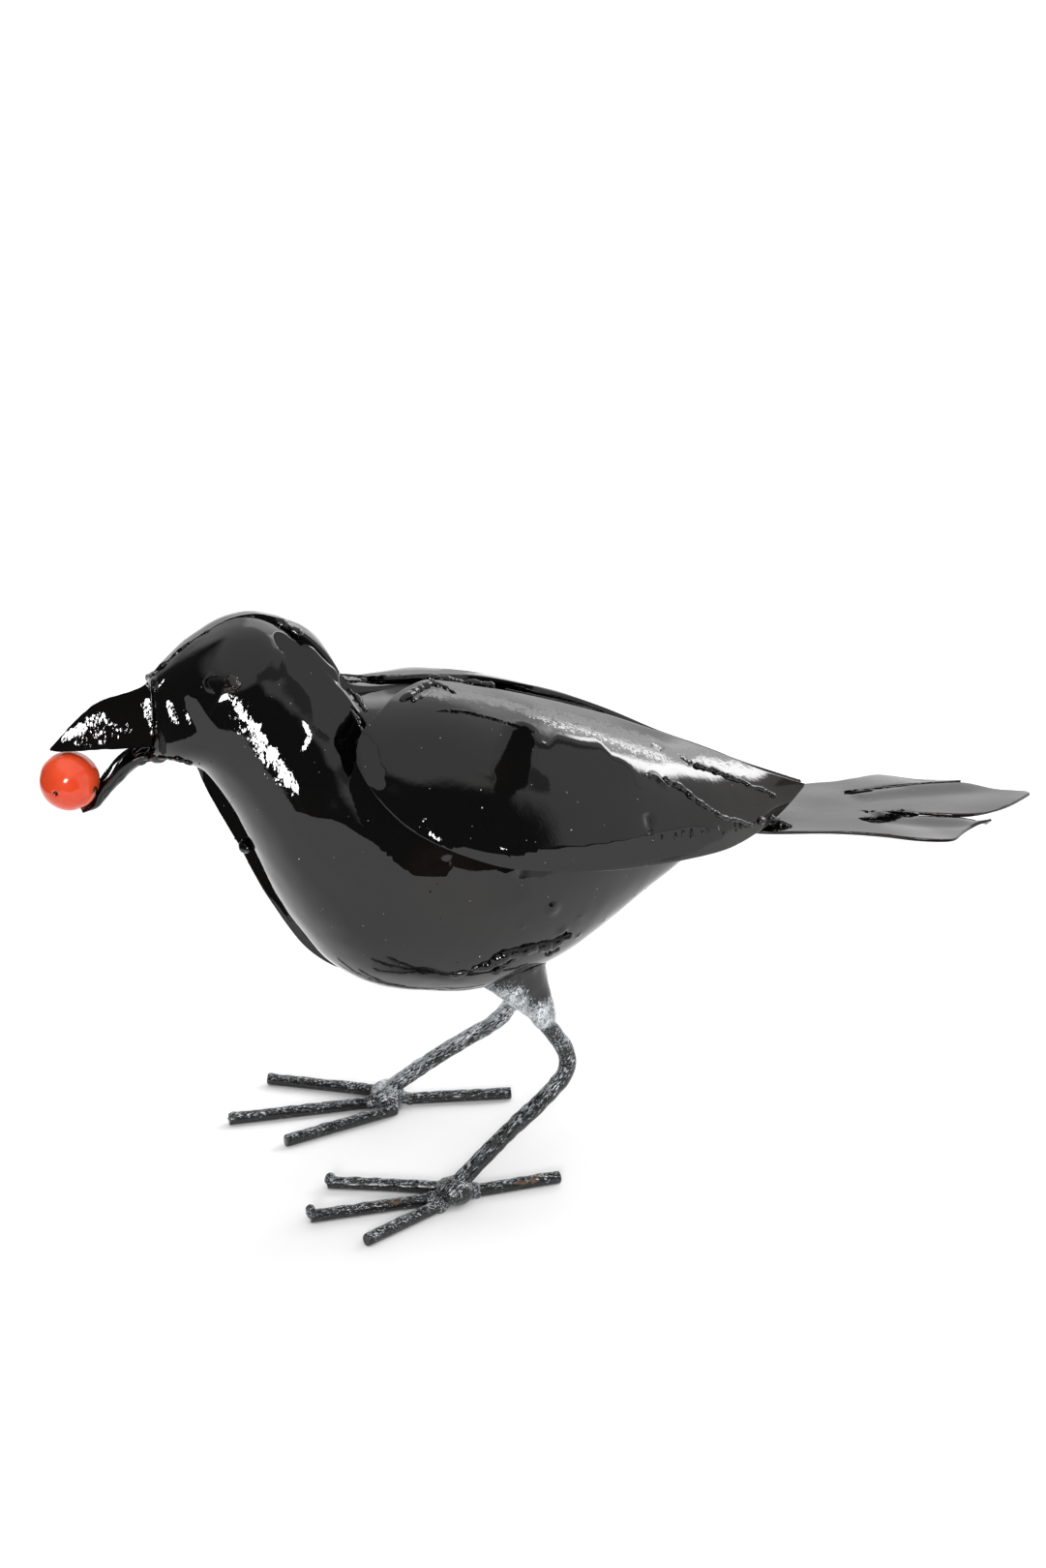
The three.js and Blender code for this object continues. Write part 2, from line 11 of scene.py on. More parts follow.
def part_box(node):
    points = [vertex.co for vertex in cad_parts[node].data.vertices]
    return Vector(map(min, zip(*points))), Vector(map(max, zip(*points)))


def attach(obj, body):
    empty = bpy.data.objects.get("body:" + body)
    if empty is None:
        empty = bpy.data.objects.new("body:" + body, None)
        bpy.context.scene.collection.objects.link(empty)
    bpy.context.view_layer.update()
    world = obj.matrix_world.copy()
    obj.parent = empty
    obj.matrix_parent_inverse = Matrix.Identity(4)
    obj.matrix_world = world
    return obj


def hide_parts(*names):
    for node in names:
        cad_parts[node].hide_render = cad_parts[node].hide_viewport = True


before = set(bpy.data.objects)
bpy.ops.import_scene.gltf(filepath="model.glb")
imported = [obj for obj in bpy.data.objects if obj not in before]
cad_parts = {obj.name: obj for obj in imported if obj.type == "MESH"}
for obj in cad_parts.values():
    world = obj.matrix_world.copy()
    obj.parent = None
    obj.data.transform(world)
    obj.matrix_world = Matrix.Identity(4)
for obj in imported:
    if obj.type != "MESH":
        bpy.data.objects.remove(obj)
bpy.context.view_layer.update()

bl_info = {
    "name": "Welded steel bird",
    "version": (1, 0, 0),
    "blender": (4, 5, 0),
    "location": "View3D > Sidebar > Bird",
    "description": "Builds a hammered and welded steel bird with a red ball in its beak",
    "category": "Object",
}

# Lengths are in millimetres in the maker's frame: +X to the beak, +Y to the bird's left,
# +Z up. The frame's metres are found from the ball in the beak.
MM = 0.001
BALL_CENTRE = (105.6, 0, 141.4)
SHIFT = np.array(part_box("berry")).mean(axis=0) - np.array(BALL_CENTRE) * MM
BODY = "root"
GROUND_Z = -SHIFT[2] / MM

# The camera that took the photograph.
PHOTO_SIZE = (1081, 1620)
CAMERA_PLACE = (169.1, 711.2, 406.0)
CAMERA_BACK = (0.2578, 0.8989, 0.3543)
FOCAL_PIXELS = 2600
SENSOR_HEIGHT = 36
CLIP_FROM, CLIP_TO = 0.01, 100

LEFT, RIGHT = "left", "right"
SIDES = (LEFT, RIGHT)
MIDDLE_PLANE = (1, 0, 1)

WAVE_COUNT = 14
WAVE_SPREAD = (0.7, 1.4)


# Places

def metres(points):
    """The frame's metres of points in millimetres."""
    return np.asarray(points, float) * MM + SHIFT


def millimetres(points):
    return (np.asarray(points, float) - SHIFT) / MM


def camera_axes():
    back = Vector(CAMERA_BACK).normalized()
    right = Vector((0, 0, 1)).cross(back).normalized()
    return right, back.cross(right), back


def surface_tree(*nodes):
    corners, faces = [], []
    for node in nodes:
        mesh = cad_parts[node].data
        first = len(corners)
        corners += [vertex.co.copy() for vertex in mesh.vertices]
        faces += [[first + i for i in face.vertices] for face in mesh.polygons]
    return BVHTree.FromPolygons(corners, faces)


def seen(nodes, *pixels):
    """Where the photograph's pixels fall on a node or nodes, in millimetres.

    A pixel just beside the nodes gives the nearest place on them.
    """
    nodes = [nodes] if isinstance(nodes, str) else nodes
    right, up, back = camera_axes()
    start = Vector(metres(CAMERA_PLACE))
    tree = surface_tree(*nodes)
    middle = Vector(np.mean([np.mean(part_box(node), axis=0) for node in nodes], axis=0))
    places = []
    for x, y in pixels:
        across = (x - PHOTO_SIZE[0] / 2) / FOCAL_PIXELS
        above = (PHOTO_SIZE[1] / 2 - y) / FOCAL_PIXELS
        way = (right * across + up * above - back).normalized()
        place = tree.ray_cast(start, way)[0]
        if place is None:
            place = tree.find_nearest(start + way * (middle - start).dot(way))[0]
        places.append(millimetres(place))
    return np.array(places)


def node_points(node):
    return millimetres(read_points(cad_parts[node].data))


# Numbers over a surface

def smooth(value, low, high):
    """0 below low, 1 above high, with a soft rise between."""
    t = np.clip((value - low) / (high - low), 0, 1)
    return t * t * (3 - 2 * t)


def ripples(points, wavelength, seed):
    """Even random waves of about one wavelength, mostly between -1 and 1."""
    rng = np.random.default_rng(seed)
    ways = rng.normal(size=(WAVE_COUNT, 3))
    ways /= np.linalg.norm(ways, axis=1)[:, None]
    ways *= rng.uniform(*WAVE_SPREAD, WAVE_COUNT)[:, None] * math.tau / wavelength
    phases = rng.uniform(0, math.tau, WAVE_COUNT)
    return np.cos(points @ ways.T + phases).sum(axis=1) / math.sqrt(WAVE_COUNT)


def faded_ends(travelled, taper):
    """1 along the middle of a path, and 0 at its two ends."""
    return smooth(travelled, 0, taper) * smooth(1 - travelled, 0, taper)


def along_path(points, path):
    """Distance from a path of straight stretches, and how far along it, from 0 to 1."""
    path = np.asarray(path, float)
    lengths = np.linalg.norm(np.diff(path, axis=0), axis=1)
    starts = np.concatenate([[0], np.cumsum(lengths)])
    nearest = np.full(len(points), np.inf)
    travelled = np.zeros(len(points))
    for a, b, length, start in zip(path[:-1], path[1:], lengths, starts):
        t = np.clip((points - a) @ (b - a) / length**2, 0, 1)
        gap = np.linalg.norm(points - a - t[:, None] * (b - a), axis=1)
        closer = gap < nearest
        nearest[closer] = gap[closer]
        travelled[closer] = (start + t * length)[closer]
    return nearest, travelled / starts[-1]


def curve_through(points, count):
    """Points on a smooth curve through the given ones."""
    points = np.asarray(points, float)
    padded = np.vstack([2 * points[0] - points[1], points, 2 * points[-1] - points[-2]])
    places = []
    for t in np.linspace(0, len(points) - 1, count):
        i = min(int(t), len(points) - 2)
        f = t - i
        a, b, c, d = padded[i : i + 4]
        square = 2 * a - 5 * b + 4 * c - d
        cube = 3 * b - a - 3 * c + d
        places.append(0.5 * (2 * b + (c - a) * f + square * f**2 + cube * f**3))
    return np.array(places)


# Refined copies of the frame's nodes

# How a lean's edge can look. The first three are torn, by the strengths in TORN. The spread is
# the width of the edge as a part of the lean's.
RAGGED, HATCHED, SPECKED = "ragged", "hatched", "specked"
CUT, CRISP, SOFT, WITHIN = "cut", "crisp", "soft", "within"
TORN = {RAGGED: 1.0, HATCHED: 0.8, SPECKED: 0.5}
EDGE_SPREAD = {RAGGED: 0.7, HATCHED: 0.7, SPECKED: 0.7, CUT: 0.12, CRISP: 0.35, SOFT: 0.9,
               WITHIN: 0.9}
LEAN_TAPER = 0.15
LIMIT_PASSES = 4
SAME_PLACE = 1e-6
# Edges at this angle keep a crease, and shading breaks at the next.
CREASE_ANGLE, EDGE_CREASE = math.radians(45), 0.85
SHARP_ANGLE = math.radians(40)
# Two triangles that are this flat and this square together become one face.
FLAT_PAIR, SQUARE_PAIR = math.radians(40), math.radians(60)


class Skin:
    """A smooth, finely divided copy of a node that passes through the node's corners."""

    def __init__(self, node, name, levels=3, longest=None):
        self.name = name
        self.mesh = bpy.data.meshes.new(name)
        work = bmesh.new()
        work.from_mesh(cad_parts[node].data)
        bmesh.ops.remove_doubles(work, verts=work.verts, dist=SAME_PLACE)
        bmesh.ops.join_triangles(
            work, faces=work.faces,
            angle_face_threshold=FLAT_PAIR, angle_shape_threshold=SQUARE_PAIR)
        if longest:
            long_edges = [edge for edge in work.edges if edge.calc_length() > longest * MM]
            cuts = int(max(edge.calc_length() for edge in long_edges) / MM / longest)
            bmesh.ops.subdivide_edges(work, edges=long_edges, cuts=cuts, use_grid_fill=True)
        creases = work.edges.layers.float.new("crease_edge")
        for edge in work.edges:
            if edge.calc_face_angle(0) > CREASE_ANGLE:
                edge[creases] = EDGE_CREASE
        work.to_mesh(self.mesh)
        work.free()
        self._divide(levels)
        self.read()
        self.leaning = None

    def _divide(self, levels):
        """Subdivides, moving the coarse corners until the smooth surface meets the node's."""
        coarse = self.mesh
        shaped = linked(self.name, coarse)
        divide = shaped.modifiers.new("Subdivision", "SUBSURF")
        divide.levels = divide.render_levels = levels
        corners = read_points(coarse)
        moved = corners.copy()
        for _ in range(LIMIT_PASSES):
            write_points(coarse, moved)
            moved += corners - read_points(evaluated(shaped).data)[: len(corners)]
        write_points(coarse, moved)
        self.mesh = bpy.data.meshes.new_from_object(evaluated(shaped))
        bpy.data.objects.remove(shaped)
        bpy.data.meshes.remove(coarse)

    def read(self):
        self.points = millimetres(read_points(self.mesh))
        normals = np.empty(len(self.mesh.vertices) * 3)
        self.mesh.vertex_normals.foreach_get("vector", normals)
        self.normals = normals.reshape(-1, 3)

    def settle(self):
        """Writes the points back and finds the normals again."""
        write_points(self.mesh, metres(self.points))
        self.read()

    def push(self, distance):
        """Moves each point out along its normal."""
        self.points += self.normals * np.broadcast_to(distance, len(self.points))[:, None]

    def wave(self, height, length, seed):
        """Bends the skin in random waves. The height may differ from point to point."""
        self.push(height * ripples(self.points, length, seed))

    def finer(self, *strips):
        """Divides the faces in all the strips once more. A strip is a path and its reach."""
        self.settle()
        near = np.zeros(len(self.points), bool)
        for path, reach in strips:
            near |= along_path(self.points, path)[0] < reach
        work = bmesh.new()
        work.from_mesh(self.mesh)
        work.edges.ensure_lookup_table()
        close = [edge for edge in work.edges if all(near[v.index] for v in edge.verts)]
        bmesh.ops.subdivide_edges(work, edges=close, cuts=1, use_grid_fill=True)
        work.to_mesh(self.mesh)
        work.free()
        self.read()

    def ridge(self, path, width, height, taper):
        """Raises a rounded line, or sinks it with a height below zero."""
        nearest, travelled = along_path(self.points, path)
        ends = faded_ends(travelled, taper)
        self.push(height * ends * np.exp(-((nearest / width) ** 2)))

    def lump(self, centre, width, height):
        gap = np.linalg.norm(self.points - np.asarray(centre), axis=1)
        self.push(height * np.exp(-((gap / width) ** 2)))

    def lean(self, path, width, shown, edge):
        """Turns the enamel's fine relief along a path so that it shows the camera a direction.

        A ragged stretch is torn at its edge. A change within turns only what is ragged already.
        """
        view = CAMERA_PLACE - self.points
        view /= np.linalg.norm(view, axis=1)[:, None]
        toward = view + shown
        toward /= np.linalg.norm(toward, axis=1)[:, None]
        nearest, travelled = along_path(self.points, path)
        reach = width * (0.5 + 0.5 * faded_ends(travelled, LEAN_TAPER))
        spread = EDGE_SPREAD[edge]
        share = 1 - smooth(nearest, reach * (1 - spread), reach * (1 + spread))
        turned = toward - self.normals
        if edge in TORN:
            share = share * TORN[edge]
            stronger = share > self.leaning
            self.leaning[stronger] = share[stronger]
            self.leans[stronger] = turned[stronger]
        else:
            leans = self.leans if edge == WITHIN else self.soft_leans
            leans += (turned - leans) * share[:, None]

    def start_leaning(self):
        self.settle()
        self.leaning = np.zeros(len(self.points))
        self.leans = np.zeros_like(self.points)
        self.soft_leans = np.zeros_like(self.points)

    def finish(self, finish, node):
        """Ends the skin as a piece that stands for its node."""
        self.settle()
        if self.leaning is not None:
            paint(self.mesh, "leaning", self.leaning)
            paint_vectors(self.mesh, "lean", self.leans)
            paint_vectors(self.mesh, "soft_lean", self.soft_leans)
        add_piece(self.name, self.mesh, finish, node)


def linked(name, data):
    """A new object in the scene."""
    thing = bpy.data.objects.new(name, data)
    bpy.context.scene.collection.objects.link(thing)
    return thing


def evaluated(thing):
    """The object with its modifiers run."""
    return thing.evaluated_get(bpy.context.evaluated_depsgraph_get())


def read_points(mesh):
    points = np.empty(len(mesh.vertices) * 3)
    mesh.vertices.foreach_get("co", points)
    return points.reshape(-1, 3)


def write_points(mesh, points):
    mesh.vertices.foreach_set("co", np.asarray(points, float).ravel())
    mesh.update()


def paint(mesh, layer, values):
    """Keeps a number from 0 to 1 at each point for a material or a node tree to read."""
    values = np.clip(np.broadcast_to(values, len(mesh.vertices)), 0, 1)
    attribute = mesh.attributes.new(layer, "FLOAT", "POINT")
    attribute.data.foreach_set("value", values.astype(np.float32))


def paint_vectors(mesh, layer, vectors):
    attribute = mesh.attributes.new(layer, "FLOAT_VECTOR", "POINT")
    attribute.data.foreach_set("vector", np.asarray(vectors, np.float32).ravel())


def add_piece(name, mesh, finish, *nodes, sharp=SHARP_ANGLE):
    """Links a finished mesh, which rides on the body and stands for the named nodes."""
    mesh.materials.clear()
    mesh.materials.append(Finishes.get(finish))
    mesh.polygons.foreach_set("use_smooth", [True] * len(mesh.polygons))
    mesh.set_sharp_from_angle(angle=sharp)
    piece = linked(name, mesh)
    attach(piece, BODY)
    SLOTS[finish]
    if nodes:
        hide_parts(*nodes)


# Node trees written as expressions

def both_ways(operation):
    """An operator that adds a Math node, and the same with its sides exchanged."""
    def forward(self, other):
        return self.sketch.add("ShaderNodeMath", {"operation": operation}, self, other)[0]

    def reflected(self, other):
        return self.sketch.add("ShaderNodeMath", {"operation": operation}, other, self)[0]

    return forward, reflected


class Wire:
    """A socket of a node tree. Arithmetic on it adds Math nodes."""

    __add__, __radd__ = both_ways("ADD")
    __sub__, __rsub__ = both_ways("SUBTRACT")
    __mul__, __rmul__ = both_ways("MULTIPLY")
    __pow__, __rpow__ = both_ways("POWER")
    most = both_ways("MAXIMUM")[0]

    def __init__(self, sketch, socket):
        self.sketch = sketch
        self.socket = socket

    def __abs__(self):
        return self.sketch.add("ShaderNodeMath", {"operation": "ABSOLUTE"}, self)[0]

    def rise(self, low, high):
        """0 below low and 1 above high."""
        settings = {"interpolation_type": "SMOOTHSTEP", "clamp": True}
        return self.sketch.add("ShaderNodeMapRange", settings, self, low, high, 0.0, 1.0)[0]

    def _vector(self, operation, *values):
        return self.sketch.add("ShaderNodeVectorMath", {"operation": operation}, *values)

    def dot(self, vector):
        return self._vector("DOT_PRODUCT", self, vector)["Value"]

    def scaled(self, factors):
        """The vector with each of its parts multiplied by its own factor."""
        return self._vector("MULTIPLY", self, factors)[0]

    def times(self, number):
        """The vector made longer."""
        return self._vector("SCALE", self, number)[0]

    def moved(self, way, distance):
        """The vector with a number of times another one added."""
        return self._vector("ADD", self, self._vector("SCALE", way, distance)[0])[0]


class Sketch:
    """A node tree that is being filled."""

    def __init__(self, tree):
        self.tree = tree
        tree.nodes.clear()

    def add(self, kind, settings=None, *values, **named):
        """Adds a node: its settings first, then its inputs by order and by name."""
        node = self.tree.nodes.new(kind)
        for key, value in (settings or {}).items():
            setattr(node, key, value)
        open_inputs = [socket for socket in node.inputs if socket.enabled]
        pairs = list(zip(open_inputs, values))
        pairs += [(node.inputs[key.replace("_", " ")], value) for key, value in named.items()]
        for socket, value in pairs:
            if isinstance(value, Wire):
                self.tree.links.new(value.socket, socket)
            elif value is not None:
                socket.default_value = value
        return Outputs(self, node)

    def layer(self, name, part="Fac"):
        """A painted layer of the mesh: its number, or its vector."""
        return self.add("ShaderNodeAttribute", {"attribute_name": name})[part]

    def noise(self, vector, per_metre, detail=2.0, roughness=0.5):
        return self.add("ShaderNodeTexNoise", None, Vector=vector, Scale=per_metre,
                        Detail=detail, Roughness=roughness)["Fac"]

    def blend(self, factor, colour_a, colour_b):
        return self.add("ShaderNodeMix", {"data_type": "RGBA"}, Factor=factor,
                        A=colour_a, B=colour_b)["Result"]


class Outputs:
    """The outputs of a node, by name or by number."""

    def __init__(self, sketch, node):
        self.sketch = sketch
        self.node = node

    def __getitem__(self, key):
        if isinstance(key, int):
            sockets = [socket for socket in self.node.outputs if socket.enabled]
            return Wire(self.sketch, sockets[key])
        sockets = [s for s in self.node.outputs if s.enabled and s.name == key]
        return Wire(self.sketch, sockets[0])


# Geometry Nodes

class Tree:
    """A geometry node tree with named inputs, and the modifier that runs it."""

    def __init__(self, name, inputs):
        self.group = bpy.data.node_groups.new(name, "GeometryNodeTree")
        self.keys = {}
        interface = self.group.interface
        interface.new_socket("Geometry", in_out="INPUT", socket_type="NodeSocketGeometry")
        for label, kind, default in inputs:
            socket = interface.new_socket(label, in_out="INPUT", socket_type="NodeSocket" + kind)
            if default is not None:
                socket.default_value = default
            self.keys[label] = socket.identifier
        interface.new_socket("Geometry", in_out="OUTPUT", socket_type="NodeSocketGeometry")
        self.sketch = Sketch(self.group)
        self.given = self.sketch.add("NodeGroupInput")

    def end(self, geometry):
        """Makes the result real, smooth and of the given material."""
        real = self.sketch.add("GeometryNodeRealizeInstances", None, geometry)["Geometry"]
        soft = self.sketch.add("GeometryNodeSetShadeSmooth", None, real)["Geometry"]
        done = self.sketch.add(
            "GeometryNodeSetMaterial", None, soft, Material=self.given["Material"])["Geometry"]
        self.sketch.add("NodeGroupOutput", None, done)

    def grow(self, mesh, values):
        """Runs the tree on a mesh and gives the result as a plain mesh."""
        host = linked(self.group.name, mesh)
        modifier = host.modifiers.new(self.group.name, "NODES")
        modifier.node_group = self.group
        for label, value in values.items():
            modifier[self.keys[label]] = value
        host.update_tag()
        grown = bpy.data.meshes.new_from_object(evaluated(host))
        bpy.data.objects.remove(host)
        return grown


# Weld metal: lumps per metre, how far a lump shifts a drop, and the least size of a drop and
# what a lump can add to it, as parts of its radius.
LUMPS_PER_METRE = 330
LUMP_SHIFT = 5
DROP_LEAST, DROP_RANGE = 0.2, 1.6
# Each seed reads the noise from another place. Its colour less a middle grey is the shift.
SEED_WAY, SEED_STEP = (1.0, 0.7, 0.4), 0.013
LESS_GREY = (-1.0, -1.0, -1.0), 0.5
# A bead of spatter: its segments, rings and radius, before it is made one of these sizes in
# millimetres. Most beads are small.
BEAD = (7, 5, 1.0)
BEAD_BIAS = 4
BEAD_SMALLEST, BEAD_LARGEST = 0.12, 0.45


def molten_tree():
    """Strokes of weld metal: overlapping drops along each path, run together into one skin."""
    tree = Tree("Molten metal", [
        ("Spacing", "Float", 0.0006), ("Unevenness", "Float", 0.0003),
        ("Voxel", "Float", 0.0003), ("Seed", "Int", 0), ("Material", "Material", None)])
    sketch, given = tree.sketch, tree.given
    path = sketch.add("GeometryNodeMeshToCurve", None, given["Geometry"])["Curve"]
    path = sketch.add("GeometryNodeResampleCurve", {"mode": "LENGTH"}, Curve=path,
                      Length=given["Spacing"])["Curve"]
    drops = sketch.add("GeometryNodeCurveToPoints", {"mode": "EVALUATED"}, path)["Points"]
    where = sketch.add("GeometryNodeInputPosition")[0].moved(SEED_WAY, given["Seed"] * SEED_STEP)
    melt = sketch.add("ShaderNodeTexNoise", None, Vector=where, Scale=LUMPS_PER_METRE, Detail=2.0)
    offset = melt["Color"].moved(*LESS_GREY).times(given["Unevenness"] * LUMP_SHIFT)
    drops = sketch.add("GeometryNodeSetPosition", None, drops, Offset=offset)["Geometry"]
    size = sketch.add("GeometryNodeInputNamedAttribute", {"data_type": "FLOAT"}, "drop")[0]
    change = melt["Fac"] * DROP_RANGE + DROP_LEAST
    cloud = sketch.add("GeometryNodePointsToVolume", {"resolution_mode": "VOXEL_SIZE"}, drops,
                       Voxel_Size=given["Voxel"], Radius=size * change)["Volume"]
    skin = sketch.add("GeometryNodeVolumeToMesh", {"resolution_mode": "VOXEL_SIZE"}, cloud,
                      Voxel_Size=given["Voxel"])["Mesh"]
    tree.end(skin)
    return tree


def spatter_tree():
    """Small beads thrown over a surface, thickest where its spatter layer is high."""
    tree = Tree("Spatter", [
        ("Density", "Float", 5000.0), ("Smallest", "Float", 0.0002),
        ("Largest", "Float", 0.0006), ("Seed", "Int", 0), ("Material", "Material", None)])
    sketch, given = tree.sketch, tree.given
    share = sketch.add("GeometryNodeInputNamedAttribute", {"data_type": "FLOAT"}, "spatter")[0]
    spots = sketch.add("GeometryNodeDistributePointsOnFaces", {"distribute_method": "RANDOM"},
                       given["Geometry"], Density=given["Density"] * share, Seed=given["Seed"])
    draw = sketch.add("FunctionNodeRandomValue", {"data_type": "FLOAT"}, 0.0, 1.0,
                      Seed=given["Seed"])[0]
    size = given["Smallest"] + (given["Largest"] - given["Smallest"]) * draw**BEAD_BIAS
    bead = sketch.add("GeometryNodeMeshUVSphere", None, *BEAD)["Mesh"]
    beads = sketch.add("GeometryNodeInstanceOnPoints", None, spots["Points"], Instance=bead,
                       Rotation=spots["Rotation"], Scale=size)["Instances"]
    tree.end(beads)
    return tree


def molten(name, strokes, seed, unevenness=0.3, voxel=0.3, spacing=0.35, silver=None):
    """A piece of weld metal, black or with a share of silver brushed on.

    A stroke is a path and the radius at each of its points.
    """
    finish = "weld" if silver is None else "silver"
    corners, edges, radii = [], [], []
    for path, widths in strokes:
        first = len(corners)
        corners += [tuple(place) for place in metres(path)]
        edges += [(first + i, first + i + 1) for i in range(len(path) - 1)]
        radii += list(np.broadcast_to(widths, len(path)))
    paths = bpy.data.meshes.new(name)
    paths.from_pydata(corners, edges, [])
    paint(paths, "drop", np.array(radii, np.float32) * MM)
    grown = molten_tree().grow(paths, {
        "Spacing": spacing * MM, "Unevenness": unevenness * MM, "Voxel": voxel * MM,
        "Seed": seed, "Material": Finishes.get(finish)})
    grown.name = name
    above_ground = read_points(grown)
    above_ground[:, 2] = np.maximum(above_ground[:, 2], 0)
    write_points(grown, above_ground)
    if silver is not None:
        paint(grown, "silver", silver)
        paint_vectors(grown, "grain", above_ground)
    add_piece(name, grown, finish, sharp=math.pi)


def spatter(name, skin, share, seed, per_square_metre):
    """Beads over a finished skin, with a share from 0 to 1 for each of its points."""
    surface = skin.mesh.copy()
    paint(surface, "spatter", share)
    grown = spatter_tree().grow(surface, {
        "Density": per_square_metre, "Smallest": BEAD_SMALLEST * MM,
        "Largest": BEAD_LARGEST * MM, "Seed": seed, "Material": Finishes.get("weld")})
    grown.name = name
    add_piece(name, grown, "weld", sharp=math.pi)


# Finishes

# Noise patterns: how many a metre, detail and roughness.
CLOUDS = (45, 3)
RUST_PATCHES = (210, 4)
ORANGE_PEEL = (210, 3, 0.6)
BRUSH_MARKS = (700, 3, 0.6)
DULL_PATCHES = (90, 2)
TORN_FINE, TORN_BROAD = (1500, 4, 0.7), (420, 2)
DRY_BRUSH, DRY_PATCHES = (2400, 6, 0.75), (300, 3, 0.6)
THIN_SILVER = (420, 3)
LEG_LUMPS = (420, 2)
BARE_PATCHES = (900, 4, 0.6)
RED_PATCHES, RED_PEEL, RED_GRAIN = (120, 3), (260, 2), (900, 2)
PIT_GRAIN = (900, 3)
# Dots in the enamel: how many a metre, their radius as a part of the spacing, and their share.
DUST = (150, 0.04, 0.5)
GRIT = (320, 0.06, 0.5)
GRIT_STRETCH = (1.1, 0.9, 1.0)
TORN_STRETCH = (1, 1, 0.45)
PAINT_IOR = 1.5
PIT_BLACK = (0.03, 0.008, 0.006)


def new_finish(name):
    finish = bpy.data.materials.new(name)
    finish.use_nodes = True
    return finish, Sketch(finish.node_tree)


def output(sketch, shader):
    sketch.add("ShaderNodeOutputMaterial", None, Surface=shader)


def paint_layer(sketch, colour, roughness, height, normal=None, metallic=None):
    """Ends a finish as gloss paint with a relief in millimetres."""
    relief = sketch.add("ShaderNodeBump", None, Strength=1.0, Distance=MM, Height=height,
                        Normal=normal)["Normal"]
    shader = sketch.add("ShaderNodeBsdfPrincipled", None, Base_Color=colour, Roughness=roughness,
                        IOR=PAINT_IOR, Metallic=metallic, Normal=relief)["BSDF"]
    output(sketch, shader)


def leaning_normal(sketch, place):
    """The surface's normal, turned in ragged patches as the lean layers say."""
    fine = sketch.noise(place.scaled(TORN_STRETCH), *TORN_FINE) - 0.5
    broad = sketch.noise(place, *TORN_BROAD) - 0.5
    share = (sketch.layer("leaning") * 0.66 + fine * 1.7 + broad * 0.7).rise(0.48, 0.56)
    normal = sketch.add("ShaderNodeNewGeometry")["Normal"]
    normal = normal.moved(sketch.layer("soft_lean", "Vector"), 1.0 - share)
    return normal.moved(sketch.layer("lean", "Vector"), share)


def specks(sketch, place, per_metre, radius, share):
    """1 inside small scattered dots. The radius is a part of their spacing."""
    cells = sketch.add("ShaderNodeTexVoronoi", {"feature": "F1"}, Vector=place, Scale=per_metre)
    chosen = cells["Color"].dot((1, 0, 0)).rise(1 - share, 1 - share + 0.01)
    return (1 - cells["Distance"].rise(radius * 0.6, radius)) * chosen


def black_enamel(name, look, ragged=1.0):
    """Thick gloss black over hammered steel, with brush marks, dust and rust showing faintly."""
    finish, sketch = new_finish(name)
    place = sketch.add("ShaderNodeTexCoord")["Object"]
    dust = specks(sketch, place, *DUST)
    grit = specks(sketch, place.scaled(GRIT_STRETCH), *GRIT)
    clouds = sketch.noise(place, *CLOUDS).rise(0.62, 0.85) * 0.3
    rust = (sketch.layer("rust") + clouds) * sketch.noise(place, *RUST_PATCHES)
    colour = sketch.blend(rust, (*look.enamel, 1), (*look.rust, 1))
    colour = sketch.blend(dust.most(grit * 0.5), colour, (*look.dust, 1))
    peel = sketch.noise(place, *ORANGE_PEEL) * look.peel
    brush = sketch.noise(place, *BRUSH_MARKS) * look.brush_marks
    worn = sketch.layer("worn")
    streaky = sketch.layer("leaning").rise(0.2, 0.6)
    height = peel + brush * (ragged + worn * 3 + streaky * 2.5) + (dust + grit) * 0.06
    dull = sketch.noise(place, *DULL_PATCHES).rise(0.45, 0.8) * 0.05
    roughness = 0.045 + dull + dust * 0.3 + worn * 0.1
    paint_layer(sketch, colour, roughness, height, leaning_normal(sketch, place))
    return finish


def brushed_black(name, look):
    """Black enamel with silver white dragged over it by a nearly dry brush."""
    finish, sketch = new_finish(name)
    place = sketch.add("ShaderNodeTexCoord")["Object"]
    grain = sketch.layer("grain", "Vector")
    fine = sketch.noise(grain, *DRY_BRUSH)
    broad = sketch.noise(place, *DRY_PATCHES)
    # The silver layer thickens the marks. On the legs' and toes' upper sides it also carries a
    # painted highlight.
    marks = (fine * 0.85 + broad * 0.15 + sketch.layer("silver") * 0.3).rise(0.66, 0.7)
    rust = (sketch.layer("rust") + sketch.noise(grain, *BARE_PATCHES) * 1.6).rise(1.75, 1.95)
    thin = sketch.noise(grain, *THIN_SILVER).rise(0.3, 0.7)
    silver = sketch.blend(thin, (*look.silver_thin, 1), (*look.silver, 1))
    colour = sketch.blend(marks, (*look.under, 1), silver)
    colour = sketch.blend(rust, colour, (*look.bare, 1))
    roughness = 0.2 + marks * 0.28 + rust * 0.3
    height = fine * 0.04 + marks * 0.03 + sketch.noise(place, *LEG_LUMPS) * 0.07
    paint_layer(sketch, colour, roughness, height, metallic=marks * 0.35)
    return finish


def red_gloss(name, look):
    """Orange red gloss, a little patchy, with black at the bottom of its pit."""
    finish, sketch = new_finish(name)
    place = sketch.add("ShaderNodeTexCoord")["Object"]
    patchy = sketch.noise(place, *RED_PATCHES)
    colour = sketch.blend(patchy.rise(0.4, 0.7), (*look.red, 1), (*look.red_deep, 1))
    stain = sketch.layer("pit") * 1.3 + sketch.noise(place, *PIT_GRAIN) - 0.6
    colour = sketch.blend(stain.rise(0.1, 0.5), colour, (*PIT_BLACK, 1))
    height = sketch.noise(place, *RED_PEEL) * 0.04 + sketch.noise(place, *RED_GRAIN) * 0.004
    paint_layer(sketch, colour, 0.1 + patchy * 0.08, height)
    return finish


# Studio

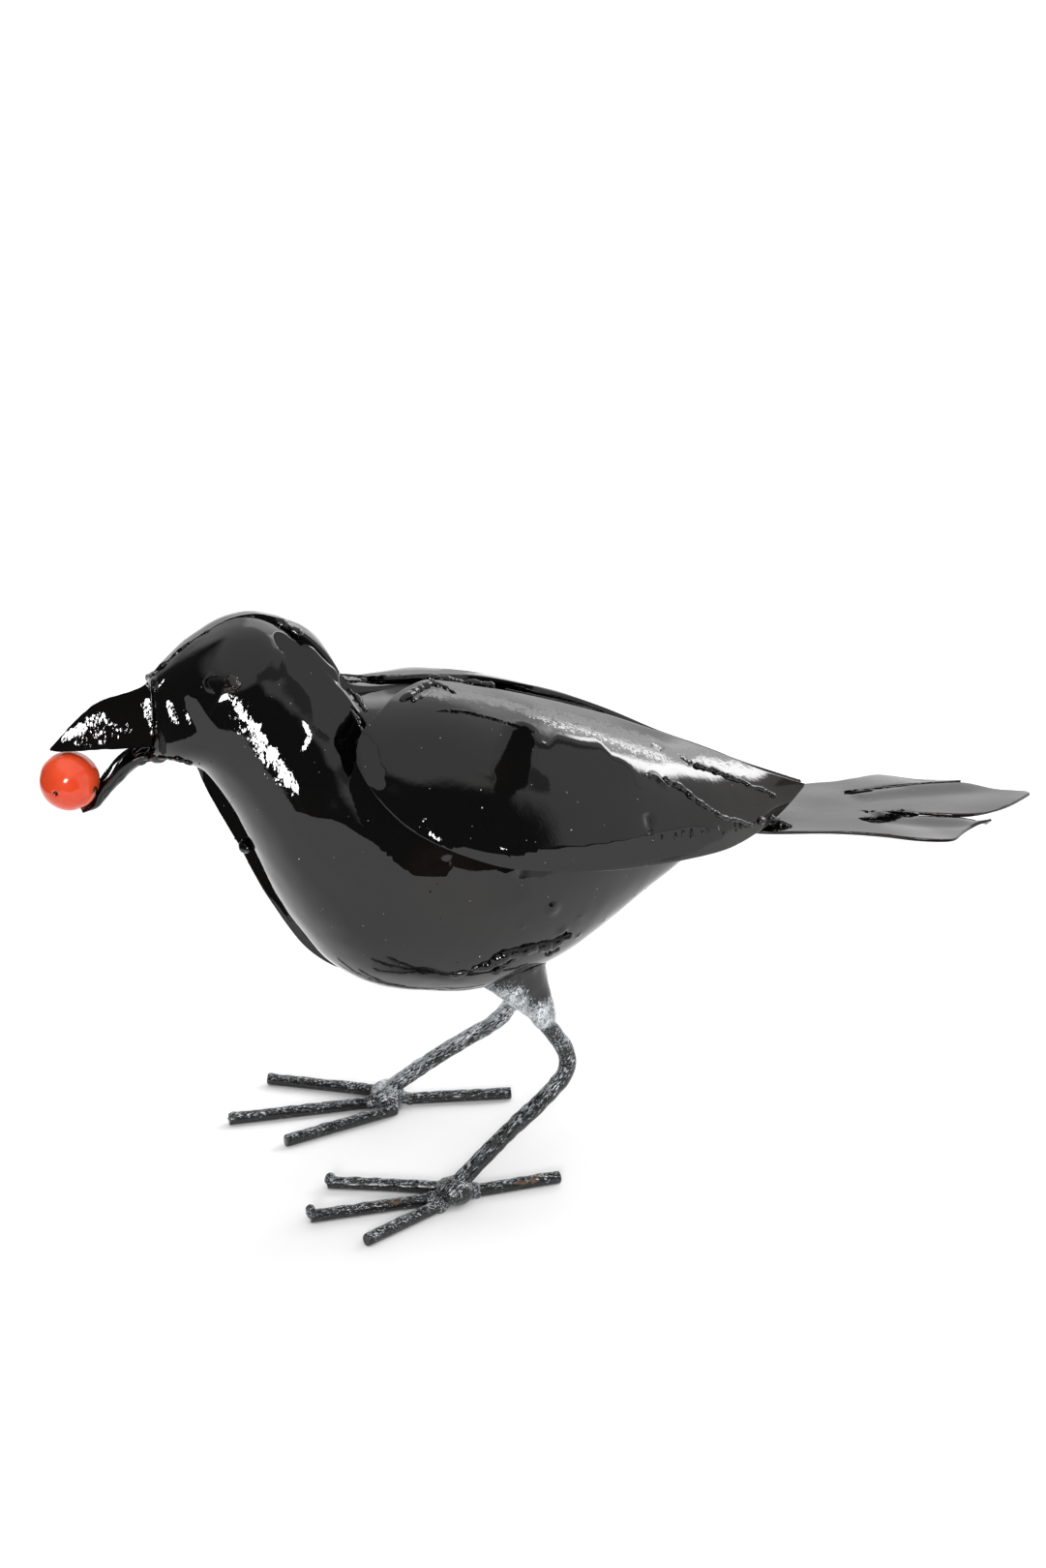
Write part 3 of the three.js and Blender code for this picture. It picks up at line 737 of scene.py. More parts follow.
def direction(azimuth, elevation):
    """A unit vector. Azimuth 0 is the way of the beak and 90 the bird's left."""
    a, e = math.radians(azimuth), math.radians(elevation)
    return np.array([math.cos(e) * math.cos(a), math.cos(e) * math.sin(a), math.sin(e)])


# What the room shows in each direction, in degrees: from and to azimuth, from and to
# elevation, softness of the edge, and brightness. A later panel covers an earlier one.
PANELS = {
    "dark room behind the camera": (56, 122, -60, 27, 5, 0.1),
    "dark room beyond the beak": (-64, 62, -60, 50, 9, 0.1),
    "dark gap over the wing": (118, 172, 26, 38, 2, 0.45),
    "wall behind the tail": (-169, -100, 4, 43, 3, 2.1),
    "window behind the tail": (-171, -138, 14, 42, 4, 5),
    "bright window frame": (-170, -158, 22, 40, 3, 18),
    "lamp beside the camera": (61, 74, 17, 25, 0.6, 70),
}
ROOM_BRIGHTNESS = 1.12


def room(look):
    world = bpy.data.worlds.new("Studio")
    bpy.context.scene.world = world
    world.use_nodes = True
    sketch = Sketch(world.node_tree)
    way = sketch.add("ShaderNodeTexCoord")["Generated"]
    height = sketch.add("ShaderNodeMath", {"operation": "ARCSINE"}, way.dot((0, 0, 1)))[0]
    elevation = height * math.degrees(1)
    light = ROOM_BRIGHTNESS
    for start, end, low, high, edge, brightness in PANELS.values():
        middle, reach = (start + end) / 2, (end - start) / 2
        ahead, across = direction(middle, 0), direction(middle + 90, 0)
        turn = sketch.add("ShaderNodeMath", {"operation": "ARCTAN2"},
                          way.dot(tuple(across)), way.dot(tuple(ahead)))[0]
        inside = 1 - (abs(turn) * math.degrees(1)).rise(reach - edge, reach + edge)
        inside = inside * elevation.rise(low - edge, low + edge)
        inside = inside * (1 - elevation.rise(high - edge, high + edge))
        light = light + inside * (brightness - light)
    ray = sketch.add("ShaderNodeLightPath")
    light = light * (1 + ray["Is Diffuse Ray"] * (look.fill - 1))
    light = light + ray["Is Camera Ray"] * (look.backdrop - light)
    shader = sketch.add("ShaderNodeBackground", None, Strength=light)["Background"]
    sketch.add("ShaderNodeOutputWorld", None, Surface=shader)


# How far the floor reaches toward the camera, beyond the beak and elsewhere.
FLOOR_NEAR, FLOOR_BEAK_END, FLOOR_FAR = 320, 360, 12000


def floor(look):
    mesh = bpy.data.meshes.new("floor")
    corners = [(x, y, GROUND_Z) for x, y in (
        (-FLOOR_FAR, -FLOOR_FAR), (FLOOR_BEAK_END, -FLOOR_FAR),
        (FLOOR_BEAK_END, FLOOR_NEAR), (-FLOOR_FAR, FLOOR_NEAR))]
    mesh.from_pydata([tuple(c) for c in metres(corners)], [], [(0, 1, 2, 3)])
    finish, sketch = new_finish("white paper")
    grey = (look.floor, look.floor, look.floor, 1)
    shader = sketch.add("ShaderNodeBsdfDiffuse", None, grey)["BSDF"]
    output(sketch, shader)
    mesh.materials.append(finish)
    linked("floor", mesh)


def camera():
    data = bpy.data.cameras.new("camera")
    data.sensor_fit = "VERTICAL"
    data.sensor_height = SENSOR_HEIGHT
    data.lens = FOCAL_PIXELS * SENSOR_HEIGHT / PHOTO_SIZE[1]
    data.clip_start, data.clip_end = CLIP_FROM, CLIP_TO
    place = linked("camera", data)
    place.location = metres(CAMERA_PLACE)
    place.rotation_euler = Vector(CAMERA_BACK).to_track_quat("Z", "Y").to_euler()
    bpy.context.scene.camera = place
    bpy.context.scene.view_settings.view_transform = "Standard"


# Settings

def colour_property(name, description, default):
    return bpy.props.FloatVectorProperty(
        name=name, description=description, default=default, subtype="COLOR", size=3,
        min=0, max=1)


def number_property(name, description, default, most, least=0, subtype="NONE"):
    return bpy.props.FloatProperty(
        name=name, description=description, default=default, min=least, max=most,
        subtype=subtype)


class BirdLook(bpy.types.PropertyGroup):
    """Finishes of the bird and its studio."""

    enamel: colour_property(
        "Enamel", "The black enamel under its gloss", (0.0016, 0.0015, 0.0014))
    rust: colour_property(
        "Rust", "Rust that shows faintly through the enamel", (0.016, 0.009, 0.0055))
    dust: colour_property("Dust", "Specks caught in the enamel", (0.55, 0.55, 0.55))
    silver: colour_property("Silver", "Dry brushed white on the legs", (0.8, 0.84, 0.87))
    silver_thin: colour_property(
        "Thin silver", "The same where it is rubbed thin", (0.3, 0.33, 0.35))
    under: colour_property("Leg black", "Black under the silver", (0.008, 0.008, 0.008))
    bare: colour_property("Bare rust", "Rusty steel on the feet", (0.1, 0.05, 0.022))
    red: colour_property("Ball red", "Red of the ball", (0.8, 0.08, 0.026))
    red_deep: colour_property(
        "Deep red", "Red of the ball in its thicker coats", (0.72, 0.055, 0.016))
    peel: number_property(
        "Orange peel", "Height of the ripples of the enamel, in millimetres", 0.045, 0.2)
    brush_marks: number_property(
        "Brush marks", "Height of the fine marks in the enamel, in millimetres", 0.014, 0.1)
    hammer: number_property(
        "Hammering", "Depth of the hammered waves in the sheet, in millimetres", 0.07, 1)
    floor: number_property(
        "Floor", "Share of light that the floor returns", 0.9, 1, subtype="FACTOR")
    fill: number_property("Fill light", "How much more light reaches what is matt", 1.6, 4, 1)
    backdrop: number_property("Backdrop", "Brightness of the backdrop", 1.1, 4)


# The material slot that each finish belongs to.
SLOTS = {"black": "black_enamel", "weld": "black_enamel", "silver": "brushed_black",
         "red": "red_gloss"}


class Finishes:
    """The materials, made once from the settings."""

    made = {}

    @classmethod
    def get(cls, name):
        if name not in cls.made:
            look = bpy.context.scene.bird_look
            makers = {
                "black": lambda: black_enamel("black enamel", look),
                "weld": lambda: black_enamel("black weld", look, ragged=2.0),
                "silver": lambda: brushed_black("brushed black", look),
                "red": lambda: red_gloss("red gloss", look),
            }
            cls.made[name] = makers[name]()
        return cls.made[name]


# Pieces

SIGN = {LEFT: 1, RIGHT: -1}
# Each use of chance has its own seed: its side's, and a number of its own that is added.
SEED = {LEFT: 11, RIGHT: 47}


def pick_side(points, side):
    """Points given for the left side, or their mirror image."""
    return np.asarray(points, float) * (1, SIGN[side], 1)


def curve_on(node, pixels, side, count):
    """A smooth curve over pixels of a node, or its mirror image on the right."""
    return curve_through(pick_side(seen(node, *pixels), side), count)


# Directions of what the enamel reflects, as azimuth and elevation.
LAMP = (67.5, 21)
DARK = (90, -10)
PLAIN = (148, 6)
FLOOR_BEFORE = (75, -50)
WINDOW = (-152, 28)
WINDOW_FRAME = (-164, 31)
WALL = (-112, 22)
BEYOND = (-110, 8)
# Where the enamel turns on each node: the pixels of a path, its width in millimetres, what it
# then reflects, and the kind of its edge.
LEANS = {
    "body_left_shell": (
        (((242, 725), (250, 737), (259, 747)), 1.8, LAMP, RAGGED),
        (((259, 747), (266, 760), (273, 773)), 2.4, LAMP, RAGGED),
        (((268, 762), (270, 778), (277, 792)), 1.5, LAMP, HATCHED),
        (((274, 770), (284, 784), (292, 797), (300, 808), (306, 816)), 2.2, LAMP, RAGGED),
        (((240, 722), (258, 752), (276, 783), (304, 818)), 4, LAMP, SPECKED),
        (((313, 746), (317, 752), (320, 760), (316, 770), (312, 776)), 0.9, LAMP, RAGGED),
        (((174, 726), (178, 736), (183, 747)), 1.7, LAMP, HATCHED),
        (((193, 737), (195, 743), (196, 748)), 0.7, LAMP, HATCHED),
        (((164, 710), (170, 702)), 0.4, LAMP, HATCHED),
        (((226, 699), (216, 699), (212, 705), (215, 712), (221, 716)), 0.8, PLAIN, CUT),
        (((166, 758), (168, 768), (168, 778)), 1.4, PLAIN, CUT),
        (((194, 722), (201, 732), (210, 747), (222, 764)), 2.4, FLOOR_BEFORE, CRISP),
        (((312, 852), (335, 864), (360, 880), (395, 900), (440, 917), (489, 923), (540, 921)),
         6.5, FLOOR_BEFORE, CRISP),
        (((372, 788), (377, 810), (387, 838), (404, 867), (430, 889), (460, 901)), 4.5, DARK,
         CUT),
        (((296, 664), (320, 688), (340, 712), (351, 740), (356, 764)), 9, PLAIN, CUT),
        (((321, 675), (330, 686), (338, 694)), 0.5, WINDOW_FRAME, CUT),
        (((368, 722), (385, 723), (405, 721)), 3, WALL, SOFT),
    ),
    "beak_upper": (
        (((60, 768), (85, 752), (115, 745), (158, 745)), 18, DARK, CUT),
        (((65, 765), (76, 756), (88, 747)), 1.6, LAMP, RAGGED),
        (((72, 761), (88, 750), (106, 739)), 2.4, LAMP, HATCHED),
        (((80, 768), (100, 760), (130, 752)), 4, LAMP, SPECKED),
        (((107, 740), (110, 747)), 0.7, LAMP, HATCHED),
        (((152, 724), (153, 733), (155, 742)), 2.3, LAMP, HATCHED),
        (((156, 747), (157, 758)), 1.0, LAMP, HATCHED),
    ),
    "body_right_shell": (
        (((214, 808), (232, 843), (250, 872), (275, 914), (300, 937), (330, 968)), 4.5,
         DARK, SOFT),
        (((352, 708), (380, 711), (405, 711), (430, 708)), 6, WALL, SOFT),
    ),
    "wing_right": (
        (((350, 703), (380, 701), (420, 698), (460, 699), (500, 704), (540, 713)), 5,
         WALL, CRISP),
        (((352, 694), (380, 693), (420, 689), (460, 690), (500, 695), (540, 703)), 3.5,
         BEYOND, SOFT),
        (((560, 713), (600, 725), (640, 739), (680, 752)), 5, WALL, CRISP),
        (((520, 710), (560, 718), (600, 728), (625, 736)), 1.6, DARK, CRISP),
    ),
    "wing_left": (
        (((376, 764), (377, 780), (381, 796), (392, 810)), 4, PLAIN, CUT),
        (((543, 754), (534, 782), (522, 812)), 4.5, DARK, SOFT),
        (((566, 786), (604, 798), (640, 800)), 9, PLAIN, SOFT),
        (((437, 849), (440, 846)), 0.5, LAMP, HATCHED),
        (((443, 860), (449, 864), (456, 868)), 0.9, LAMP, HATCHED),
        (((438, 856), (452, 864)), 1.6, LAMP, SPECKED),
        (((517, 876), (524, 878)), 0.5, LAMP, HATCHED),
        (((470, 879), (500, 887), (530, 891)), 1.8, FLOOR_BEFORE, CRISP),
        (((530, 891), (570, 891), (620, 886), (680, 874), (740, 862)), 4, FLOOR_BEFORE, CUT),
        (((440, 717), (480, 718), (520, 726), (550, 735)), 4, WINDOW, RAGGED),
        (((545, 735), (575, 741), (600, 748), (640, 761), (680, 774), (700, 782)), 6.5,
         WINDOW, RAGGED),
        (((705, 778), (735, 784), (772, 794)), 4.5, WINDOW, RAGGED),
        (((540, 747), (575, 758), (600, 764), (640, 778), (680, 790), (708, 803)), 5.5,
         WINDOW_FRAME, WITHIN),
        (((720, 788), (750, 795), (776, 798)), 3.5, WINDOW_FRAME, WITHIN),
        (((452, 735), (480, 736), (520, 746), (552, 757)), 1.0, DARK, RAGGED),
    ),
    "tail": (
        (((894, 847), (906, 848), (918, 847), (930, 845)), 2.0, DARK, CRISP),
        (((892, 846), (905, 847), (918, 847), (933, 844)), 3.2, DARK, RAGGED),
        (((875, 820), (888, 820), (903, 818)), 0.9, DARK, CRISP),
    ),
}
# Skins are divided once more wherever a lean is narrower than each of these widths, as far as
# so many of its widths and a margin.
FINER_BELOW = (3, 1.3)
FINER_WIDTHS, FINER_MARGIN = 1.5, 0.5
# Craters in the enamel of the left side: pixels and radius in millimetres.
BLISTERS = {
    "body_left_shell": {(571, 938): 1.9, (540, 957): 0.7, (581, 961): 1.5, (434, 897): 1.2,
                        (412, 899): 0.9, (597, 966): 0.9, (599, 947): 0.6, (624, 951): 0.6,
                        (530, 898): 1.6, (656, 925): 0.5},
    "wing_left": {(672, 860): 1.5, (560, 768): 0.6},
}
# A crater's hill and its pit: their width and height as parts of its radius.
BLISTER_HILL, BLISTER_PIT = (1, 0.5), (0.5, -0.75)
BLISTER_REACHES = (3, 2)
SPOT_LENGTH = 0.01


def lean_as_seen(skin, node):
    skin.start_leaning()
    for path, width, shown, edge in LEANS.get(node, ()):
        skin.lean(seen(node, *path), width, direction(*shown), edge)


def finer_leans(skin, node):
    for limit in FINER_BELOW:
        skin.finer(*[(seen(node, *path), width * FINER_WIDTHS + FINER_MARGIN)
                     for path, width, _, edge in LEANS.get(node, ())
                     if edge != SOFT and width < limit])


def spot(place):
    """A path so short that it is a place."""
    return np.vstack([place, place + SPOT_LENGTH])


def blister(skin, node):
    places = [(seen(node, pixel)[0], size) for pixel, size in BLISTERS.get(node, {}).items()]
    for reach in BLISTER_REACHES:
        skin.finer(*[(spot(centre), size * reach) for centre, size in places])
    for centre, size in places:
        for width, height in (BLISTER_HILL, BLISTER_PIT):
            skin.lump(centre, size * width, size * height)
    skin.settle()


def finish_black(skin, node, rust, worn, finish="black"):
    """Ends a skin in black enamel, with its rust and its wear from 0 to 1."""
    paint(skin.mesh, "rust", rust)
    paint(skin.mesh, "worn", worn)
    skin.finish(finish, node)


def finish_silver(skin, node, silver, rust, way, stretch=0.3):
    """Ends a skin in dry brushed silver, with its brush marks drawn out along a way. On the legs
    and toes its silver share also holds a painted highlight on their upper sides.
    """
    paint(skin.mesh, "silver", silver)
    paint(skin.mesh, "rust", rust)
    way = np.asarray(way, float) / np.linalg.norm(way)
    points = metres(skin.points)
    grain = points - (1 - stretch) * (points @ way)[:, None] * way
    paint_vectors(skin.mesh, "grain", grain)
    skin.finish("silver", node)


# Hammered waves: their share of the hammering, their length, and what is added to the seed.
BODY_WAVES = ((1, 19, 0), (0.35, 8, 1))
WING_WAVES = ((1.3, 24, 5), (0.3, 9, 6))
# Between these distances from the body's seam the hammering fades in.
SEAM_CALM = (1.5, 5)
# The hollow under the wing's edge and the crease round the eye, as pixels on the left side.
UNDER_WING = ((366, 762), (371, 800), (386, 835), (412, 868), (446, 893), (490, 908))
EYE_CREASE = ((216, 719), (211, 710), (214, 701), (223, 697))
EYE_CREASE_REACHES = (3.5, 2.5)
# From where to where along x the spatter grows thicker, and the wings grow rusty.
HEAD_SPATTER = (40, 70)
WING_SPATTER = (50, 100)
WING_RUST = (60, 110)
# Rust clouds on the body: their length, and between which heights of the wave they show.
RUST_LENGTH, RUST_SHOWS = 45, (0.6, 2.0)


def hammer(skin, waves, depth, side, share=1):
    """Beats the sheet in waves. The share may differ from point to point."""
    for part, length, turn in waves:
        skin.wave(depth * part * share, length, SEED[side] + turn)
    skin.settle()


def body_shell(side, look):
    node = f"body_{side}_shell"
    skin = Skin(node, f"body_{side}")
    hammer(skin, BODY_WAVES, look.hammer, side, smooth(abs(skin.points[:, 1]), *SEAM_CALM))
    tuck = curve_on("body_left_shell", UNDER_WING, side, 30)
    skin.ridge(tuck, width=6, height=-1.6, taper=0.15)
    crease = pick_side(seen("body_left_shell", *EYE_CREASE), side)
    for reach in EYE_CREASE_REACHES:
        skin.finer((crease, reach))
    skin.ridge(curve_through(crease, 12), width=1.3, height=0.1, taper=0.3)
    finer_leans(skin, node)
    blister(skin, node)
    lean_as_seen(skin, node)
    rust = smooth(ripples(skin.points, RUST_LENGTH, SEED[side] + 2), *RUST_SHOWS) * 0.4
    finish_black(skin, node, rust, worn=0)
    share = 0.12 + smooth(skin.points[:, 0], *HEAD_SPATTER) * 0.5
    spatter(f"{side}_body_spatter", skin, share, SEED[side] + 3, per_square_metre=9000)


# Cuts and creases of the wing as pixels, width and height. Below zero sinks.
WING_MARKS = (
    (((672, 766), (679, 771), (686, 776)), 1.2, -1.6),
    (((702, 780), (709, 785), (715, 790)), 1.0, -1.2),
    (((668, 802), (676, 801), (684, 808), (692, 815)), 0.9, 0.6),
    (((668, 838), (671, 850), (673, 864)), 1.6, -0.7),
)
# Weld beads that draw the wing's feathers, as pixels and radius. A bead ends thinner.
WING_BEADS = (
    (((718, 790), (740, 797), (762, 806), (784, 815), (800, 822)), 0.95),
    (((668, 803), (675, 800), (684, 807)), 0.7),
    (((688, 806), (700, 811), (712, 820), (725, 830), (745, 843), (762, 848), (776, 853)), 1.05),
)
BEAD_TAPER = (1.1, 0.7)


def wing_sheet(side, look):
    node = f"wing_{side}"
    skin = Skin(node, f"{side}_wing")
    hammer(skin, WING_WAVES, look.hammer, side)
    for path, width, height in WING_MARKS:
        marks = curve_on("wing_left", path, side, 14)
        skin.finer((marks, width * 3))
        skin.ridge(marks, width, height, taper=0.25)
    finer_leans(skin, node)
    blister(skin, node)
    lean_as_seen(skin, node)
    tail_end = smooth(-skin.points[:, 0], *WING_RUST)
    finish_black(skin, node, rust=tail_end * 0.5, worn=tail_end * 0.15)
    return skin


def wing(side, look):
    skin = wing_sheet(side, look)
    strokes = []
    for path, radius in WING_BEADS:
        points = curve_on("wing_left", path, side, 30)
        strokes.append((points, radius * np.linspace(*BEAD_TAPER, len(points))))
    molten(f"{side}_wing_feather_welds", strokes, SEED[side] + 20, unevenness=0.45, voxel=0.25)
    share = 0.15 + smooth(-skin.points[:, 0], *WING_SPATTER) * 0.4
    spatter(f"{side}_wing_spatter", skin, share, SEED[side] + 4, per_square_metre=7000)


# The cuts between the tail's lobes. The edge on the bird's left of a cut is bent up: the cut's
# places, by how much, and where along the tail the bend ends.
NEAR_CUT = ((-151, 2.7), (-160, 6.3), (-168, 9.6), (-176, 13.2), (-180, 14.8), (-187, 16.6))
FAR_CUT = ((-151, -15), (-171, -14.4), (-192.6, -13.0))
BENT_EDGES = ((NEAR_CUT, 1.4, 178), (FAR_CUT, 0.9, 190))
BEND_WIDTH = 11
BEND_STARTS, BEND_ENDS = 5, 14
# How far a face of the tail looks up, from none to all of it: its top side and its edges.
TAIL_TOP, TAIL_FLAT = (0.5, 0.8), (0.6, 0.85)
# Dents beside the cuts, as pixels, width and depth.
TAIL_DENTS = (
    (((889, 846), (905, 846), (925, 845), (950, 842)), 2.2, 0.35),
    (((873, 820), (890, 819), (915, 816), (940, 814)), 1.8, 0.3),
)


def bend_edge(skin, cut, height, end):
    """Bends the edge beside a cut up to the edge on the cut's other side."""
    x, y, _ = skin.points.T
    line = np.array(cut)
    start = -line[0, 0]
    beyond = y - np.interp(-x, -line[:, 0], line[:, 1])
    along = smooth(-x, start, start + BEND_STARTS) * (1 - smooth(-x, end, end + BEND_ENDS))
    near = (beyond > 0) * (1 - smooth(beyond, 0, BEND_WIDTH))
    skin.points[:, 2] += height * along * near


def tail():
    skin = Skin("tail", "tail_feathers")
    top = smooth(skin.normals[:, 2], *TAIL_TOP)
    skin.wave(0.12 * top, length=26, seed=71)
    for cut, height, end in BENT_EDGES:
        bend_edge(skin, cut, height, end)
    skin.settle()
    for path, width, depth in TAIL_DENTS:
        marks = curve_on("tail", path, LEFT, 16)
        skin.finer((marks, width * 2.5))
        skin.ridge(marks, width, -depth, taper=0.2)
    finer_leans(skin, "tail")
    lean_as_seen(skin, "tail")
    edge = 1 - smooth(abs(skin.normals[:, 2]), *TAIL_FLAT)
    finish_black(skin, "tail", rust=edge, worn=edge * 0.5)


def beak():
    for node, name in (("beak_upper", "upper_beak"), ("beak_lower", "lower_beak")):
        skin = Skin(node, name)
        skin.wave(0.12, length=9, seed=31)
        skin.wave(0.05, length=4, seed=32)
        skin.settle()
        finer_leans(skin, node)
        lean_as_seen(skin, node)
        finish_black(skin, node, rust=0.1, worn=0.25)


BALL_PIT = (57, 820)
BALL_PIT_REACHES = (2.5, 1.8)
BALL_SMEARS = (((98, 815), (101, 822), (98, 830)), ((52, 777), (57, 776)))
# How far the black reaches round the pit and the smears: whole, and none.
PIT_BLACKENED, SMEARED = (0.5, 0.95), (0.2, 1.5)


def ball():
    skin = Skin("berry", "red_ball", levels=2)
    skin.wave(0.06, length=6, seed=5)
    pit = seen("berry", BALL_PIT)[0]
    for reach in BALL_PIT_REACHES:
        skin.finer((spot(pit), reach))
    stain = 1 - smooth(np.linalg.norm(skin.points - pit, axis=1), *PIT_BLACKENED)
    skin.lump(pit, width=0.75, height=-0.9)
    skin.lump(pit, width=1.5, height=0.12)
    for path in BALL_SMEARS:
        nearest, _ = along_path(skin.points, seen("berry", *path))
        stain = np.maximum(stain, (1 - smooth(nearest, *SMEARED)) * 0.8)
    paint(skin.mesh, "pit", stain)
    skin.finish("red", "berry")


def eyes():
    for side in SIDES:
        node = f"eye_{side}"
        skin = Skin(node, f"{side}_eye")
        skin.wave(0.25, length=2.2, seed=SEED[side] + 8)
        skin.settle()
        finish_black(skin, node, rust=0.8, worn=0.6, finish="weld")


# The ways that the brush ran, and how wide its marks are on the legs for their length.
THIGH_BRUSH = (-0.35, 0, 1)
LEG_BRUSH = (-0.75, -0.32, 0.58)
LEG_STRETCH = 0.22
LEG_SILVER = {LEFT: 0.42, RIGHT: 0.62}
# Where the silver fades up the thigh, as parts of its height, and later on its front.
THIGH_FADE, THIGH_FRONT, FRONT_LATER = (0.25, 0.85), (-2, 4), 0.3
LEG_TOP = (20, 45)
LEG_RUST_LENGTH, LEG_RUST_SHOWS = 16, (1.1, 1.6)
# The toes' undersides stay flat on the ground.
TOE_UNEVEN_ABOVE = (1.4, 2.6)
TOE_RUST_REACH = (0.7, 2.2)
TOES = ("inner", "middle", "outer", "back")
TOE_RUST = {(LEFT, "middle"): ((385, 1245), (402, 1242), (418, 1240)),
            (LEFT, "back"): ((535, 1222), (548, 1220), (560, 1217))}


def thighs():
    for side in SIDES:
        node = f"thigh_{side}"
        skin = Skin(node, f"{side}_thigh")
        skin.wave(0.15, length=7, seed=SEED[side] + 9)
        skin.settle()
        low, high = skin.points[:, 2].min(), skin.points[:, 2].max()
        height = (skin.points[:, 2] - low) / (high - low)
        front = smooth(skin.points[:, 0] - skin.points[:, 0].mean(), *THIGH_FRONT)
        silver = 0.72 - smooth(height - FRONT_LATER * front, *THIGH_FADE)
        rust = np.exp(-((height - 0.02) / 0.06) ** 2) * 0.4
        finish_silver(skin, node, silver, rust, THIGH_BRUSH)


def legs():
    for side in SIDES:
        node = f"leg_{side}"
        skin = Skin(node, f"{side}_leg", levels=2)
        skin.wave(0.12, length=5, seed=SEED[side] + 12)
        skin.settle()
        # Upward faces get more silver: real dry brushing, plus a painted highlight on the legs'
        # upper sides where light falls from above.
        top_highlight = smooth(skin.normals[:, 2], -0.2, 0.9)
        height = smooth(skin.points[:, 2], *LEG_TOP)
        silver = LEG_SILVER[side] - 0.2 + 0.25 * top_highlight + 0.15 * height
        rust = smooth(ripples(skin.points, LEG_RUST_LENGTH, SEED[side] + 13), *LEG_RUST_SHOWS)
        finish_silver(skin, node, silver, rust, pick_side(LEG_BRUSH, side), LEG_STRETCH)


def toes():
    for side, toe in itertools.product(SIDES, TOES):
        node = f"toe_{side}_{toe}"
        skin = Skin(node, f"{side}_{toe}_toe", levels=2, longest=4)
        above = smooth(skin.points[:, 2], *TOE_UNEVEN_ABOVE)
        skin.wave(0.12 * above, length=5, seed=SEED[side] + 15)
        skin.settle()
        # Upward faces of the toes get more silver too, partly as a painted highlight on their
        # tops.
        top_highlight = smooth(skin.normals[:, 2], 0, 0.9)
        rust = 0
        if (side, toe) in TOE_RUST:
            nearest, _ = along_path(skin.points, seen(node, *TOE_RUST[side, toe]))
            rust = 1 - smooth(nearest, *TOE_RUST_REACH)
        extent = skin.points.max(axis=0) - skin.points.min(axis=0)
        finish_silver(skin, node, 0.2 + 0.25 * top_highlight, rust, (extent[0], 0, 0))


# Weld metal along the seams

# Each weld has a name, whether the right side has it too, and its strokes: the pixels that a
# stroke runs through and its radius there in millimetres.
WELDS = (
    ("nape_weld", True, (
        (((360, 712), (370, 722), (378, 734)), (0.6, 1.1, 0.8)),
        (((363, 734), (369, 744), (374, 756)), (0.6, 0.9, 0.7)))),
    ("face_weld", True, (
        (((157, 704), (160, 712)), (0.5, 0.8)),
        (((160, 714), (161, 726), (162, 740), (162, 755), (161, 768)), 0.5))),
    ("throat_drops", False, (
        (((166, 782), (183, 783), (196, 788)), (0.8, 1.1, 0.8)),)),
    ("wing_front_weld", False, (
        (((416, 724), (430, 714), (446, 706), (458, 710), (470, 716)), (0.8, 1.5, 1.3, 1.1, 0.6)),
        (((428, 724), (436, 720)), (0.8, 0.6)))),
    ("wing_tail_weld", True, (
        (((786, 848), (800, 851), (816, 853)), (1.2, 1.5, 0.9)),
        (((797, 845), (806, 848)), (1.2, 0.8)))),
    ("thigh_weld", True, (
        (((490, 1000), (503, 996), (521, 987), (548, 979), (570, 975), (588, 966)),
         (1.5, 2.4, 2.1, 1.8, 2.0, 1.3)),
        (((512, 1002), (522, 994), (534, 988)), (1.3, 1.9, 1.3)),
        (((470, 1006), (480, 1004)), (1.5, 1.0)),
        (((566, 984), (576, 980)), (1.4, 1.0)))),
)
# The drips along the wing's lower edge: pixels from and to, how far a drip strays and runs, and
# the radius of its drop.
DRIPS_FROM, DRIPS_TO, DRIP_COUNT = (676, 864), (768, 852), 11
DRIP_STRAYS, DRIP_RUNS = (-3, 3), (3, 7)
DRIP_ROOT, DRIP_DROP = 0.35, (0.4, 0.65)
# The upright lips of the cuts between the tail's feathers: places, lowest and highest z.
SPLITS = (
    (((-151, 2.6), (-156, 4.6), (-161, 6.5), (-167, 9.0)), 104.0, 105.4),
    (((-151, -15), (-163, -14.6), (-178, -14.1), (-192, -13.0)), 104.9, 105.9),
)
SPLIT_THICKNESS = 0.35
LIP_POINTS = 40
# How far the torn top of a lip strays below and above its height.
TORN_BY = (-0.25, 0.1)
# The weld along the left wing's root, and its radius on each side.
WING_ROOT = ((23, 27.5, 155), (15, 18, 159.8), (7, 10, 161.8), (-1, 4.5, 163))
WING_ROOT_RADII = {RIGHT: 0.45, LEFT: 0.8}
# The seams of the body's halves: from and to x and how many points, and the least and the
# largest radius of the weld.
CROWN_SEAM, CROWN_RADII = (79, 49, 16), (0.5, 0.9)
BELLY_SEAM, BELLY_RADII = (8, -102, 50), (0.6, 1.1)
# A ray finds the seam from above or below, a little beside the middle.
SEAM_BESIDE, SEAM_ABOVE, SEAM_BELOW = 1.6, 300, -50
# More welds as pixels, and their radii.
CROWN_PATCH, PATCH_RADIUS = ((287, 642), (297, 648), (307, 654)), 1.6
BACK_SEAM, BACK_RADII = ((448, 706), (470, 711), (492, 712), (511, 714)), (0.9, 1.3, 1.1, 1.6)
BACK_FILL = ((354, 703), (370, 705), (388, 705), (406, 705), (424, 705), (440, 706))
FILL_RADIUS = 1.3
BREAST_TACKS, TACK_RADIUS = ((254, 874), (338, 962)), 1.7
TACK_FROM, TACK_TO = (0, -2.5, 0), (0, 2, 0)
# How far from their ends the places are taken at which the jaw, the ankle and the toes join.
JAW_REACH, CHIN_REACH = 3, 3
ANKLE_BELOW, TOE_ROOT_REACH, TOE_TIP_REACH = 8, 3, 2
TOE_WELD_RADII = (2.4, 2.1)
